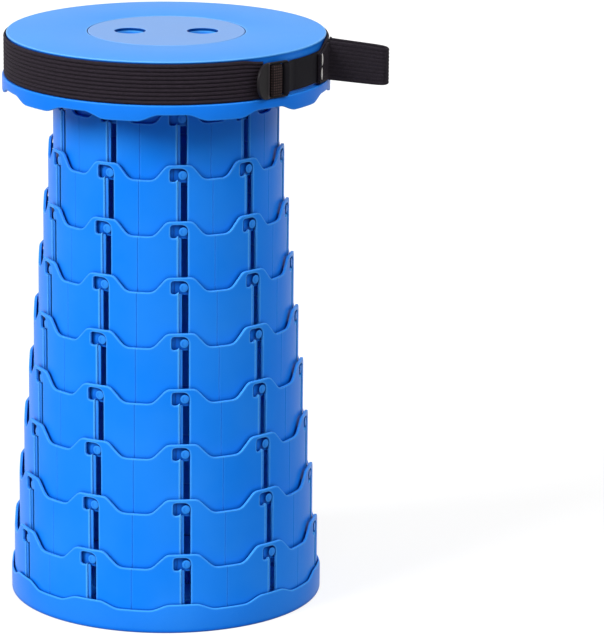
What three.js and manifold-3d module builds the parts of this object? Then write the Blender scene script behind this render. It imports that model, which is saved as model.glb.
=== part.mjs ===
// Collapsible telescopic stool: a round seat on ten nested sleeves that slide out of a shallow base tray.
// Every sleeve has ten J-slots; the pins of the sleeve inside it run in them and turn into the hooks to lock.
// Millimetres, +Z up. The origin is the centre of the base's flat underside. An azimuth is measured at the
// axis from the front (-Y) towards the right (+X). The stool stands at its full height.
import * as THREE from "three";
import { mergeVertices } from "three/addons/utils/BufferGeometryUtils.js";
import Module from "manifold-3d";

const wasm = await Module();
wasm.setup();

// Counts and angles
const sectors = 10; // slots, pins and waves round every sleeve
const slides = 9; // sleeves 0 to 8 slide, sleeve 9 stands in the base
const sectorAngle = 360 / sectors;
const bodyAzimuth = 6.3; // where the first crest of the sleeves and of the base stands
const seatAzimuth = 2.3; // where the first dip of the seat's skirt stands

// Clearances
const seatedGap = 0.3; // between two pieces that sit on each other
const runningGap = 0.35; // each side of a pin in its slot
const nestGap = 0.5; // between the highest crest and the seat when the stool is closed
const bite = 0.2; // how far a raised feature is sunk into the wall that carries it
const overrun = 2; // how far a cutter runs past the face that it cuts
const weldDistance = 1e-4; // corners closer than this are one corner
const curveSegments = 8; // in each curved stretch of a flat outline

// Base tray
const floorPlate = 2.5;
const floorRib = 2.5;
const floorRibWidth = 2.4;
const baseWall = 1.6;
const trayGap = 0.6; // between sleeve 9 and the tray's wall
const baseEdge = 1;
const baseCrest = 23;
const baseWave = 4.8;

// Sleeves
const travel = 42.9;
const pinHeight = 6.4; // from a sleeve's lower edge to the middle of its pins
const crestAbovePin = 7.9;
const troughDrop = 11.7;
const innerSleeveRadius = 84.15; // to the corners of sleeve 0, which has as many as the others
const sleeveStep = 4.05; // from each sleeve to the next one out
const sleeveWall = 2.3;
const hungDrop = 2.8; // sleeve 0 stands this much shorter, so that the seat comes to rest on the crests
const crestHalfAngle = 6;
const slopeAngle = 6;

// Slots and pins, across the flat face of a crest
const slotWidth = 7.6;
const slotShift = 2.6; // from the middle of the crest to the middle of the slot
const hookReach = 6.2; // from the middle of the slot to a pin that is locked in the hook
const hookRise = 5.4; // from the pin to the roof of the hook
const hookDrop = 5; // from the pin to the bed of the hook
const sillDrop = 3.2; // from the pin to the sill between the hook's bed and the slot
const guideRadius = 4.2; // the rounded corner that guides a rising pin into the hook
const guideSteps = 2;
const hookCorner = 2.2;
const pinAcross = slotWidth - 2 * runningGap;
const pinSides = 8;
const pinRecess = 0.45; // from the pin's tip to the outer face of the sleeve around it
const padRise = 0.8; // the pad that carries a pin bridges the foot of the sleeve's own slot
const padWidth = 13.4;
const padHeight = 11.6;

// Snap lugs that hold sleeve 0 to the seat and sleeve 9 to the base
const lugWidth = 8;
const lugHeight = 3;
const lugReach = 1.2;
const lugBelowEdge = 4.4;
const lugCount = 5;

// Seat
const seatPlate = 2.8;
const lipGap = 1.5; // between the tray's wall and the lip above it when the stool is closed
const lipReach = 3.9; // from the floor of the strap's groove to the lip's edge
const seatRimReach = 0.5; // from the floor of the strap's groove to the edge of the seat's rim
const seatRimChamfer = 1;
const seatRimDepth = 1.5;
const skirtDip = 40.3; // from the seat's top to the dips of its skirt
const skirtWave = 4.9;
const lipWall = 2.7;
const grooveWall = 1.6;
const skirtShoulder = 2.5;
const collarWall = 2.2;
const collarHeight = 12;
const seatStations = 4; // stations in one wave of the seat's skirt or of the base's wall

// Centre caps of the seat and the base
const capRadius = 61;
const capSeat = 8; // how far the cap reaches over its ledge
const capLedge = 3.2;
const capLedgeWall = 2.4;
const capThickness = 3;
const capSides = 40;
const fingerHoleRadius = 12;
const fingerHoleOffset = 28;
const fingerSleeveWall = 1.8;
const fingerSleeveDepth = 10;
const fingerHoleSides = 16;
const hookWidth = 8;
const hookThickness = 1.6;
const hookBarb = 1.1;
const hookTip = 1.8;
const capHooks = 4;
const capHookTurn = 45;

// Strap: elastic band, handle loop, buckle and its webbing
const bandThickness = 2;
const bandWidth = 30.7;
const webbingThickness = 1.4;
const sharpestBendShare = 0.5; // keeps the outer corner of a sharp fold within one thickness
const bandEndAzimuth = 31;
const tabStartAzimuth = 50;
const strapSeamAzimuth = 66.5;
const bandStepAngle = 9;
const fewestArcSteps = 2;
const seamAngle = 0.5; // left open between two ends that are sewn together
const loopAzimuth = 79.5; // where the flat handle loop stands out from the rim
const loopReach = 48; // from the band to the end of the handle loop
const loopHalfWidth = 5.5; // from the middle of the loop to the middle of each of its two layers
const loopFoot = 9; // the rear foot; the front one runs to the seam
const loopDroop = 4; // the loop's end hangs this much lower than the band
const buckleAzimuth = 38.6;
const buckleMargin = 1.55; // the band is this much wider than the buckle's height on each side
const buckleRail = 1.7; // the buckle's frame beside the webbing
const buckleThickness = 2.4;
const buckleTabLength = 15;
const buckleTabLift = 18;
const buckleBarWidth = 7;
const buckleEndBarWidth = 2.6;
const buckleSlotWidth = 3.4;
const buckleCentreSlot = 5.4;

// Radii, widths and heights worked out from the sizes above
const outerSleeveRadius = innerSleeveRadius + slides * sleeveStep;
const baseRadius = outerSleeveRadius + trayGap + baseWall;
const seatRadius = baseRadius + lipGap + lipWall;
const grooveRadius = seatRadius - lipReach;
const seatRimRadius = grooveRadius + seatRimReach;
const skirtInner = grooveRadius - grooveWall;
const capOpening = capRadius - capSeat;
const grooveHeight = bandWidth + 2 * seatedGap;
const buckleHeight = bandWidth - 2 * buckleMargin;
const webbingWidth = buckleHeight - 2 * (buckleRail + seatedGap);
const sleeveHeight = pinHeight + travel + crestAbovePin;
const sleeveFoot = floorPlate + floorRib + seatedGap; // where a lowered sleeve's edge rests
const closedHeight = sleeveFoot + sleeveHeight + nestGap + seatPlate;
const openHeight = closedHeight + slides * travel - hungDrop;
const lipTop = openHeight - seatRimDepth - grooveHeight;

const blue = new THREE.MeshStandardMaterial({ color: 0x1673e6, roughness: 0.42, metalness: 0 });
const seatBlue = new THREE.MeshStandardMaterial({ color: 0x2380ee, roughness: 0.35, metalness: 0 });
const elastic = new THREE.MeshStandardMaterial({ color: 0x1d1a1c, roughness: 0.9, metalness: 0 });
const nylon = new THREE.MeshStandardMaterial({ color: 0x18171a, roughness: 0.75, metalness: 0 });
const buckleBlack = new THREE.MeshStandardMaterial({ color: 0x121214, roughness: 0.4, metalness: 0 });

// A three.js geometry as a solid that can be joined and cut.
function solid(geometry) {
  const bare = geometry.clone();
  for (const name of Object.keys(bare.attributes)) {
    if (name !== "position") bare.deleteAttribute(name);
  }
  const merged = mergeVertices(bare, weldDistance);
  return new wasm.Manifold(
    new wasm.Mesh({
      numProp: 3,
      vertProperties: new Float32Array(merged.attributes.position.array),
      triVerts: new Uint32Array(merged.index.array),
    }),
  );
}

// A solid back as a three.js geometry.
function geometryOf(made) {
  const { vertProperties, triVerts } = made.getMesh();
  const geometry = new THREE.BufferGeometry();
  geometry.setAttribute("position", new THREE.BufferAttribute(vertProperties, 3));
  geometry.setIndex(new THREE.BufferAttribute(triVerts, 1));
  geometry.computeVertexNormals();
  return geometry;
}

// Several solids joined into one.
function joined(solids) {
  return solids.reduce((sum, next) => sum.add(next));
}

function radians(degrees) {
  return THREE.MathUtils.degToRad(degrees);
}

// The point at a radius and an azimuth, seen from above.
function planPoint(radius, azimuth) {
  return new THREE.Vector2(radius * Math.sin(radians(azimuth)), -radius * Math.cos(radians(azimuth)));
}

// A ring whose section changes on its way round: each station has an azimuth and the section's corners
// as [radius, height], anticlockwise with the radius to the right. A plain Lathe can't make a wavy edge.
function ringOfSections(stations) {
  const corners = stations[0].section.length;
  const positions = [];
  const faces = [];
  stations.forEach(({ azimuth, section }, i) => {
    const next = (i + 1) % stations.length;
    section.forEach(([radius, height], j) => {
      const { x, y } = planPoint(radius, azimuth);
      positions.push(x, y, height);
      const up = (j + 1) % corners;
      const [a, b, c, d] = [i * corners + j, next * corners + j, next * corners + up, i * corners + up];
      faces.push(a, b, c, a, c, d);
    });
  });
  const geometry = new THREE.BufferGeometry();
  geometry.setAttribute("position", new THREE.Float32BufferAttribute(positions, 3));
  geometry.setIndex(faces);
  return geometry;
}

// A flat outline pushed outwards between two distances from the axis. The outline's x runs along the wall
// and its y upwards; the block stands at the front and is turned to its azimuth.
function radialBlock(shape, from, to, azimuth = 0) {
  const geometry = new THREE.ExtrudeGeometry(shape, { depth: to - from, bevelEnabled: false, curveSegments });
  geometry.rotateX(Math.PI / 2).translate(0, -from, 0).rotateZ(radians(azimuth));
  return solid(geometry);
}

// A flat outline seen from above, raised between two heights.
function upright(shape, from, to) {
  const geometry = new THREE.ExtrudeGeometry(shape, { depth: to - from, bevelEnabled: false, curveSegments });
  return solid(geometry.translate(0, 0, from));
}

function outline(points) {
  return new THREE.Shape(points.map(([x, y]) => new THREE.Vector2(x, y)));
}

function rectangle(left, right, bottom, top) {
  return outline([
    [left, bottom],
    [right, bottom],
    [right, top],
    [left, top],
  ]);
}

function polygon(sides, radius, x = 0, y = 0) {
  const half = Math.PI / sides;
  const points = Array.from({ length: sides }, (_, i) => {
    const angle = half * (2 * i + 1);
    return [x + radius * Math.cos(angle), y + radius * Math.sin(angle)];
  });
  return outline(points);
}

// The same solid at every one of count places round the axis.
function roundTheAxis(made, count, first) {
  return joined(Array.from({ length: count }, (_, i) => made.rotate([0, 0, first + (i * 360) / count])));
}

// A ribbon on edge: its middle line is seen from above, and its width stands upright about a height.
function ribbon(line, thickness, width, middle) {
  const side = (sign) =>
    line.map((point, i) => {
      const before = line[Math.max(i - 1, 0)];
      const after = line[Math.min(i + 1, line.length - 1)];
      const inwards = point.clone().sub(before).normalize();
      const outwards = after.clone().sub(point).normalize();
      if (i === 0) inwards.copy(outwards);
      if (i === line.length - 1) outwards.copy(inwards);
      const along = inwards.clone().add(outwards).normalize();
      const reach = thickness / 2 / Math.max(along.dot(outwards), sharpestBendShare);
      return new THREE.Vector2(point.x - sign * along.y * reach, point.y + sign * along.x * reach);
    });
  const shape = new THREE.Shape([...side(-1), ...side(1).reverse()]);
  return upright(shape, middle - width / 2, middle + width / 2);
}

// The azimuths of a sleeve's corners: a crest is one flat face, and so are a slope and a trough.
const sleeveCorners = [
  -crestHalfAngle,
  crestHalfAngle,
  crestHalfAngle + slopeAngle,
  sectorAngle - crestHalfAngle - slopeAngle,
];

function sleeveRadius(index) {
  return innerSleeveRadius + index * sleeveStep;
}

// The distance from the axis to the flat outer face of a sleeve's crests.
function crestFace(index) {
  return sleeveRadius(index) * Math.cos(radians(crestHalfAngle));
}

const crestWall = sleeveWall * Math.cos(radians(crestHalfAngle));

// The plain tube of a sleeve, with its crests and troughs if it has a wavy edge.
function tube(index, foot, top, wavy) {
  const outer = sleeveRadius(index);
  const inner = outer - sleeveWall;
  const stations = [];
  for (let sector = 0; sector < sectors; sector += 1) {
    for (const corner of sleeveCorners) {
      const low = wavy && Math.abs(corner) > crestHalfAngle;
      const edge = low ? top - troughDrop : top;
      const section = [
        [inner, foot],
        [outer, foot],
        [outer, edge],
        [inner, edge],
      ];
      stations.push({ azimuth: sector * sectorAngle + corner, section });
    }
  }
  return solid(ringOfSections(stations));
}

// The J-slot as it is seen on the crest: a channel for the sliding pin, and a hook with a bed at its top left.
function slotOutline(foot) {
  const left = slotShift - slotWidth / 2;
  const right = slotShift + slotWidth / 2;
  const end = slotShift - hookReach - slotWidth / 2;
  const pin = pinHeight + travel;
  const roof = pin + hookRise;
  const bed = pin - hookDrop;
  const guide = Array.from({ length: guideSteps + 1 }, (_, i) => {
    const angle = (i * Math.PI) / 2 / guideSteps;
    return [right - guideRadius * (1 - Math.cos(angle)), roof - guideRadius * (1 - Math.sin(angle))];
  });
  return outline([
    [left, foot],
    [right, foot],
    ...guide,
    [end + hookCorner, roof],
    [end, roof - hookCorner],
    [end, bed + hookCorner],
    [end + hookCorner, bed],
    [left - hookDrop + sillDrop, bed],
    [left, pin - sillDrop],
  ]);
}

// A raised pin on its pad. The pin reaches through the slot of the sleeve outside it.
function pinAndPad(index, padded) {
  const face = crestFace(index);
  const tip = crestFace(index + 1) - pinRecess;
  const acrossCorners = pinAcross / 2 / Math.cos(Math.PI / pinSides);
  const pin = polygon(pinSides, acrossCorners, slotShift, pinHeight);
  const solids = [radialBlock(pin, face - bite + (padded ? padRise : 0), tip)];
  if (padded) {
    const pad = rectangle(slotShift - padWidth / 2, slotShift + padWidth / 2, 0, padHeight);
    solids.push(radialBlock(pad, face - bite, face + padRise));
  }
  return joined(solids);
}

// Windows or lugs of the snap joints, on every second crest.
function lugBlocks(from, to, middle, clearance) {
  const half = lugWidth / 2 + clearance;
  const rise = lugHeight / 2 + clearance;
  const block = radialBlock(rectangle(-half, half, middle - rise, middle + rise), from, to);
  return roundTheAxis(block, lugCount, bodyAzimuth);
}

// Sleeve 0 hangs from the seat, 1 to 8 slide in the next one out, and 9 stands in the base.
function sleeve(index) {
  const fixed = index === slides;
  const hung = index === 0;
  const foot = fixed ? floorPlate + seatedGap - sleeveFoot : 0;
  const top = hung ? sleeveHeight + nestGap - seatedGap - hungDrop : sleeveHeight;
  const face = crestFace(index);
  let made = tube(index, foot, top, !hung);
  if (!hung) {
    const lowest = pinHeight - pinAcross / 2 - runningGap;
    const cutter = radialBlock(slotOutline(lowest), face - crestWall - overrun, face + overrun);
    made = made.subtract(roundTheAxis(cutter, sectors, 0));
  }
  if (!fixed) made = made.add(roundTheAxis(pinAndPad(index, !hung), sectors, 0));
  made = made.rotate([0, 0, bodyAzimuth]);
  if (hung) {
    const windows = lugBlocks(face - crestWall - overrun, face + overrun, top - lugBelowEdge, seatedGap);
    made = made.subtract(windows);
  }
  if (fixed) {
    const middle = foot + lugBelowEdge;
    made = made.subtract(troughWindows(face - crestWall - overrun, face + 2 * overrun, middle));
  }
  const mesh = new THREE.Mesh(geometryOf(made), blue);
  mesh.name = `sleeve_${index}`;
  mesh.position.z = sleeveFoot + (slides - index) * travel;
  return mesh;
}

// Sleeve 9 takes the base's lugs in windows at the middle of every second trough.
function troughWindows(from, to, middle) {
  const half = lugWidth / 2 + seatedGap;
  const rise = lugHeight / 2 + seatedGap;
  const block = radialBlock(rectangle(-half, half, middle - rise, middle + rise), from, to);
  return roundTheAxis(block, lugCount, bodyAzimuth + sectorAngle / 2);
}

// The flat, slope, flat and slope of one wave, as shares of its height, from the middle of the first flat.
const waveShares = [0, 1, 1, 0];

function waveStations(first, sectionAt) {
  const step = sectorAngle / seatStations;
  const stations = [];
  for (let sector = 0; sector < sectors; sector += 1) {
    waveShares.forEach((share, i) => {
      const azimuth = first + sector * sectorAngle + (i + 0.5) * step;
      stations.push({ azimuth, section: sectionAt(share) });
    });
  }
  return stations;
}

function makeSeatTop() {
  const top = openHeight;
  const under = top - seatPlate;
  const collarOuter = (sleeveRadius(0) - sleeveWall) * Math.cos(radians(crestHalfAngle)) - seatedGap;
  const ledge = top - capThickness - seatedGap;
  const shoulderFoot = lipTop - skirtShoulder / 2;
  const recess = capRadius + seatedGap;
  const ringSection = (share) => {
    const edge = top - skirtDip - share * skirtWave;
    return [
      [recess, ledge],
      [recess - capRadius + capOpening, ledge],
      [capOpening, ledge - capLedge],
      [recess + capLedgeWall, ledge - capLedge],
      [recess + capLedgeWall, under],
      [collarOuter - collarWall, under],
      [collarOuter - collarWall, under - collarHeight],
      [collarOuter, under - collarHeight],
      [collarOuter, under],
      [skirtInner, under],
      [skirtInner, shoulderFoot + skirtShoulder],
      [seatRadius - lipWall, shoulderFoot],
      [seatRadius - lipWall, edge],
      [seatRadius, edge],
      [seatRadius, lipTop],
      [grooveRadius, lipTop],
      [grooveRadius, top - seatRimDepth],
      [seatRimRadius, top - seatRimDepth],
      [seatRimRadius, top - seatRimChamfer],
      [seatRimRadius - seatRimChamfer, top],
      [recess, top],
    ];
  };
  const shell = solid(ringOfSections(waveStations(seatAzimuth, ringSection)));
  const windowMiddle = under - seatedGap - lugBelowEdge;
  const face = crestFace(0) - crestWall;
  const lugs = lugBlocks(collarOuter - collarWall / 2, face + lugReach, windowMiddle, 0);
  const mesh = new THREE.Mesh(geometryOf(shell.add(lugs)), seatBlue);
  mesh.name = "seat_top";
  return mesh;
}

// A snap hook that stands on a cap, with its barb turned outwards. Its foot is at height 0.
function snapHook(reach) {
  const outer = capOpening - seatedGap;
  const profile = outline([
    [outer - hookThickness, -bite],
    [outer, -bite],
    [outer, reach],
    [outer + hookBarb, reach],
    [outer, reach + hookTip],
    [outer - hookThickness, reach + hookTip],
  ]);
  const geometry = new THREE.ExtrudeGeometry(profile, { depth: hookWidth, bevelEnabled: false });
  return solid(geometry.rotateX(Math.PI / 2).translate(0, hookWidth / 2, 0));
}

// The seat and the base share one cap. Its flat face is at height 0, and its snap hooks and the collars
// of its two finger holes point up.
function cap() {
  const disc = polygon(capSides, capRadius);
  const hook = snapHook(capLedge + seatedGap).translate([0, 0, capThickness]);
  const parts = [roundTheAxis(hook, capHooks, capHookTurn)];
  for (const side of [-1, 1]) {
    const hole = polygon(fingerHoleSides, fingerHoleRadius, side * fingerHoleOffset);
    const collar = polygon(fingerHoleSides, fingerHoleRadius + fingerSleeveWall, side * fingerHoleOffset);
    disc.holes.push(new THREE.Path(hole.getPoints()));
    collar.holes.push(new THREE.Path(hole.getPoints()));
    parts.push(upright(collar, capThickness - bite, capThickness + fingerSleeveDepth));
  }
  return joined([upright(disc, 0, capThickness), ...parts]);
}

function makeSeatCap() {
  const mesh = new THREE.Mesh(geometryOf(cap()), seatBlue);
  mesh.name = "seat_cap";
  mesh.rotation.x = Math.PI;
  mesh.position.z = openHeight;
  return mesh;
}

function makeBaseCap() {
  const mesh = new THREE.Mesh(geometryOf(cap()), blue);
  mesh.name = "base_cap";
  return mesh;
}

function makeBaseTray() {
  const ledge = capThickness + seatedGap;
  const recess = capRadius + seatedGap;
  const wallSection = (share) => {
    const edge = baseCrest - share * baseWave;
    return [
      [recess, 0],
      [baseRadius - baseEdge, 0],
      [baseRadius, baseEdge],
      [baseRadius, edge],
      [baseRadius - baseWall, edge],
      [baseRadius - baseWall, floorPlate],
      [recess + capLedgeWall, floorPlate],
      [recess + capLedgeWall, ledge + capLedge],
      [capOpening, ledge + capLedge],
      [capOpening, ledge],
      [recess, ledge],
    ];
  };
  const shell = solid(ringOfSections(waveStations(bodyAzimuth, wallSection)));
  const innermost = sleeveRadius(0) - sleeveWall - 2 * sleeveStep;
  const outermost = sleeveRadius(slides) - sleeveWall - sleeveStep / 2;
  const ribShape = rectangle(-floorRibWidth / 2, floorRibWidth / 2, floorPlate - bite, floorPlate + floorRib);
  const ribs = roundTheAxis(radialBlock(ribShape, innermost, outermost), sectors, bodyAzimuth);
  const middle = floorPlate + seatedGap + lugBelowEdge;
  const lugShape = rectangle(-lugWidth / 2, lugWidth / 2, middle - lugHeight / 2, middle + lugHeight / 2);
  const lug = radialBlock(lugShape, crestFace(slides) - lugReach, baseRadius - baseWall / 2);
  const lugs = roundTheAxis(lug, lugCount, bodyAzimuth + sectorAngle / 2);
  const mesh = new THREE.Mesh(geometryOf(joined([shell, ribs, lugs])), blue);
  mesh.name = "base_tray";
  return mesh;
}

const bandInner = (grooveRadius + seatedGap / 2) / Math.cos(radians(bandStepAngle / 2));
const bandMiddle = bandInner + bandThickness / 2;
const bandHeight = lipTop + seatedGap + bandWidth / 2;
const buckleMiddle = bandHeight - buckleMargin; // the buckle rests on the seat's lip

function arcLine(radius, from, to) {
  const count = Math.max(fewestArcSteps, Math.round(Math.abs(to - from) / bandStepAngle));
  return Array.from({ length: count + 1 }, (_, i) => planPoint(radius, from + ((to - from) * i) / count));
}

// The elastic band lies in the seat's groove from the buckle, round the back, to the seam.
function makeBand() {
  const line = arcLine(bandMiddle, strapSeamAzimuth + seamAngle, bandEndAzimuth + 360);
  const mesh = new THREE.Mesh(geometryOf(ribbon(line, bandThickness, bandWidth, bandHeight)), elastic);
  mesh.name = "strap_band";
  return mesh;
}

// The handle loop's half outline, as shares of its reach and of its half width, from the band outwards.
const loopShares = [
  [0.06, 1],
  [0.5, 0.94],
  [0.88, 1],
  [0.96, 0.82],
  [0.99, 0.45],
];

// The handle is a flat loop of the same elastic, with a foot sewn to the band on each side. It is drawn
// with its reach along x and turned to its azimuth.
function makeHandleLoop() {
  const footRadius = bandMiddle + bandThickness + seatedGap;
  const footAngle = THREE.MathUtils.radToDeg(Math.asin(loopHalfWidth / footRadius));
  const rearAngle = THREE.MathUtils.radToDeg(loopFoot / footRadius);
  const root = footRadius * Math.cos(radians(footAngle));
  const front = arcLine(footRadius, 90 - loopAzimuth + strapSeamAzimuth, 90 - footAngle);
  const rear = arcLine(footRadius, 90 + footAngle, 90 + footAngle + rearAngle);
  const side = (sign) => {
    return loopShares.map(([out, half]) => {
      return new THREE.Vector2(root + out * (loopReach + bandMiddle - root), sign * half * loopHalfWidth);
    });
  };
  const end = new THREE.Vector2(bandMiddle + loopReach, 0);
  const line = [...front, ...side(-1), end, ...side(1).reverse(), ...rear];
  const level = ribbon(line, bandThickness, bandWidth, bandHeight);
  const drooped = level.warp((point) => {
    point[2] -= (loopDroop * Math.max(point[0] - root, 0)) / (end.x - root);
  });
  const mesh = new THREE.Mesh(geometryOf(drooped.rotate([0, 0, loopAzimuth - 90])), elastic);
  mesh.name = "handle_loop";
  return mesh;
}

// The buckle is drawn at the front: x runs along the rim, and n is the distance from the axis.
const buckleBack = bandMiddle + bandThickness / 2 + seatedGap;
const buckleFront = buckleBack + buckleThickness;
const barLeft = 0;
const barRight = barLeft + buckleBarWidth;
const endBarLeft = barRight + buckleCentreSlot;
const endBarRight = endBarLeft + buckleEndBarWidth;
const tabRoot = barLeft - buckleSlotWidth;
const webbingOver = buckleFront + seatedGap + webbingThickness / 2;
const webbingMiddle = bandInner + webbingThickness / 2;

function buckleLine(points) {
  return points.map(([x, n]) => new THREE.Vector2(x, -n));
}

function turnedToBuckle(made) {
  return made.rotate([0, 0, buckleAzimuth]);
}

// A ladder-lock buckle: two rails, two bars, and a rounded tab that stands off the strap.
function makeBuckle() {
  const half = buckleHeight / 2;
  const rails = [-1, 1].map((sign) => {
    const edge = sign * half;
    const inner = sign * (half - buckleRail);
    const [low, high] = [Math.min(edge, inner), Math.max(edge, inner)];
    return radialBlock(rectangle(tabRoot - buckleRail, endBarRight, low, high), buckleBack, buckleFront);
  });
  const bar = (left, right) => {
    return radialBlock(rectangle(left, right, -half + bite, half - bite), buckleBack, buckleFront);
  };
  const round = buckleTabLength / 2;
  const tab = new THREE.Shape();
  tab.moveTo(0, -half);
  tab.lineTo(0, half);
  tab.lineTo(-buckleTabLength + round, half);
  tab.quadraticCurveTo(-buckleTabLength, half, -buckleTabLength, 0);
  tab.quadraticCurveTo(-buckleTabLength, -half, -buckleTabLength + round, -half);
  const lifted = radialBlock(tab, -buckleThickness / 2, buckleThickness / 2)
    .rotate([0, 0, buckleTabLift])
    .translate([tabRoot, -(buckleBack + buckleThickness / 2), 0]);
  const made = joined([...rails, bar(barLeft, barRight), bar(endBarLeft, endBarRight), lifted]);
  const mesh = new THREE.Mesh(geometryOf(turnedToBuckle(made.translate([0, 0, buckleMiddle]))), buckleBlack);
  mesh.name = "strap_buckle";
  return mesh;
}

// The webbing tail comes from the band, up through the buckle, over its wide bar and back under it.
function makeTail() {
  const turn = webbingThickness / 2 + seatedGap;
  const start = planPoint(webbingMiddle, bandEndAzimuth + seamAngle - buckleAzimuth);
  const halfway = planPoint(webbingMiddle, (bandEndAzimuth - buckleAzimuth) / 2);
  const line = [
    start,
    halfway,
    ...buckleLine([
      [barLeft - turn - webbingThickness, webbingMiddle],
      [barLeft - turn, buckleBack],
      [barLeft - turn, buckleFront],
      [barLeft, webbingOver],
      [barRight, webbingOver],
      [barRight + turn, buckleFront],
      [barRight + turn, buckleBack],
      [barRight, webbingMiddle],
      [barRight - buckleBarWidth / 2, webbingMiddle],
    ]),
  ];
  const made = turnedToBuckle(ribbon(line, webbingThickness, webbingWidth, buckleMiddle));
  const mesh = new THREE.Mesh(geometryOf(made), nylon);
  mesh.name = "webbing_tail";
  return mesh;
}

// The smooth webbing tab holds the buckle's end bar and runs along the rim to the seam.
function makeTab() {
  const turn = webbingThickness / 2 + seatedGap;
  const along = arcLine(webbingMiddle, tabStartAzimuth - buckleAzimuth, strapSeamAzimuth - buckleAzimuth);
  const line = [
    ...buckleLine([
      [endBarLeft - turn, buckleBack - turn],
      [endBarLeft - turn, buckleFront],
      [endBarLeft, webbingOver],
      [endBarRight, webbingOver],
      [endBarRight + turn, buckleFront],
    ]),
    ...along,
  ];
  const made = turnedToBuckle(ribbon(line, webbingThickness, webbingWidth, buckleMiddle));
  const mesh = new THREE.Mesh(geometryOf(made), nylon);
  mesh.name = "buckle_tab";
  return mesh;
}

const stool = new THREE.Group();
stool.add(makeBaseTray(), makeBaseCap());
for (let index = slides; index >= 0; index -= 1) stool.add(sleeve(index));
stool.add(makeSeatTop(), makeSeatCap());
stool.add(makeBand(), makeHandleLoop(), makeBuckle(), makeTail(), makeTab());

export default stool;
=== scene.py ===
# %% [markdown]
# # A collapsible telescopic stool
#
# The stool is a round seat on ten plastic sleeves that slide into each other and into a shallow base tray.
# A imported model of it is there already. It is called the frame, and it says where each piece is and which
# body it moves with. In this lesson every piece that shows is built again with rounded edges, fine curves
# and a material of its own, and stands in the place of its plain solid.
#
# All sizes are millimetres until a mesh is made. An azimuth is measured round the stool's axis, from the
# front (-Y) towards the right (+X).

import math

import bmesh
import bpy
import numpy as np
from mathutils import Matrix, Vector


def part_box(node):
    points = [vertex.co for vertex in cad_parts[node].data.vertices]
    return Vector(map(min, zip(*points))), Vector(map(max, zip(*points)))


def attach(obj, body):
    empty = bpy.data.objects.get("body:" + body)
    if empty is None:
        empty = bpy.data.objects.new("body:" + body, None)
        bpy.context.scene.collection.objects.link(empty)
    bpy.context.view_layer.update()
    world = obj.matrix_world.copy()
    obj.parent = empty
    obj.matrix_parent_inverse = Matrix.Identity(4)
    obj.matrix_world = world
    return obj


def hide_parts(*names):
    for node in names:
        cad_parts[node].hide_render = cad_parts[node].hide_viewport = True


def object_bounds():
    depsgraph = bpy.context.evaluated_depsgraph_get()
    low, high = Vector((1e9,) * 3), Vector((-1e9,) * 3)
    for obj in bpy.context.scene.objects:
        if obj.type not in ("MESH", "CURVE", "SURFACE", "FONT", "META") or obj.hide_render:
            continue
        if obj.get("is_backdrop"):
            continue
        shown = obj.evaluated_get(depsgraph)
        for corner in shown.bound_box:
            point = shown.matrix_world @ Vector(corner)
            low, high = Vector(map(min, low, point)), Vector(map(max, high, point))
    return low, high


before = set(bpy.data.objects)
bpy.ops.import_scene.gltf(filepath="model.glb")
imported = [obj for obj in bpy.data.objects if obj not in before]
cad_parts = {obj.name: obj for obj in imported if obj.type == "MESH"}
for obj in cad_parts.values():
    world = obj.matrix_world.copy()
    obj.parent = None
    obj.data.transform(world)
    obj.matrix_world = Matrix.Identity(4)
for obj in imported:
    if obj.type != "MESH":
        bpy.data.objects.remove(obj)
cad_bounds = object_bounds()

# %% [markdown]
# ## The camera
#
# A point at a known place on the stool lands on a known pixel of the photograph. The camera could be moved
# by hand until the two look alike, but fitting a pinhole camera to the rows of pins, the seat's rim and the
# base gives its place and direction at once. It stands 3.2 m in front of the stool and 1.06 m up, so its
# lens is a long one. The stool is left of the middle of the frame because the camera is turned a little to
# its right.

# %% The fitted camera
FRAME_HEIGHT_PX = 640
SENSOR_MM = 36
FOCAL_PX = 4168
CAMERA_PLACE = (0.0037, -3.171, 1.057)
CAMERA_YAW = math.radians(1.863)
CAMERA_PITCH = math.radians(14.815)
CAMERA_ROLL = math.radians(0.518)
FARTHEST_SEEN = 20


def make_camera():
    """The viewing direction is yaw about Z, then pitch down; right is its cross product with Z, and roll
    turns right and up about it. A camera looks along its own -Z, so the matrix holds right, up and minus
    the direction. The lens is the focal length in pixels times the sensor's size over the frame's
    height."""
    forward = np.array([math.sin(CAMERA_YAW), math.cos(CAMERA_YAW), -math.tan(CAMERA_PITCH)])
    forward /= np.linalg.norm(forward)
    right = np.cross(forward, [0, 0, 1])
    right /= np.linalg.norm(right)
    up = np.cross(right, forward)
    turned_right = math.cos(CAMERA_ROLL) * right + math.sin(CAMERA_ROLL) * up
    turned_up = math.cos(CAMERA_ROLL) * up - math.sin(CAMERA_ROLL) * right
    data = bpy.data.cameras.new("camera")
    data.sensor_width = SENSOR_MM
    data.lens = FOCAL_PX * SENSOR_MM / FRAME_HEIGHT_PX
    data.clip_end = FARTHEST_SEEN
    camera = bpy.data.objects.new("camera", data)
    turn = np.column_stack([turned_right, turned_up, -forward])
    camera.matrix_world = Matrix.Translation(CAMERA_PLACE) @ Matrix(turn.tolist()).to_4x4()
    bpy.context.scene.collection.objects.link(camera)
    bpy.context.scene.camera = camera
    return data.lens


print("The lens has a focal length of", round(make_camera(), 1), "mm")

# %% [markdown]
# ## Sizes that several pieces share
#
# The pieces of a telescopic column fit each other, so most sizes follow from a few: ten equal sectors round
# the axis, nine slides, one travel, one wall and one step in radius. They could be typed in for each piece,
# but then a change to one would break the fit. They are the same as in the part's source, and the heights
# come from the frame.

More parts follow.
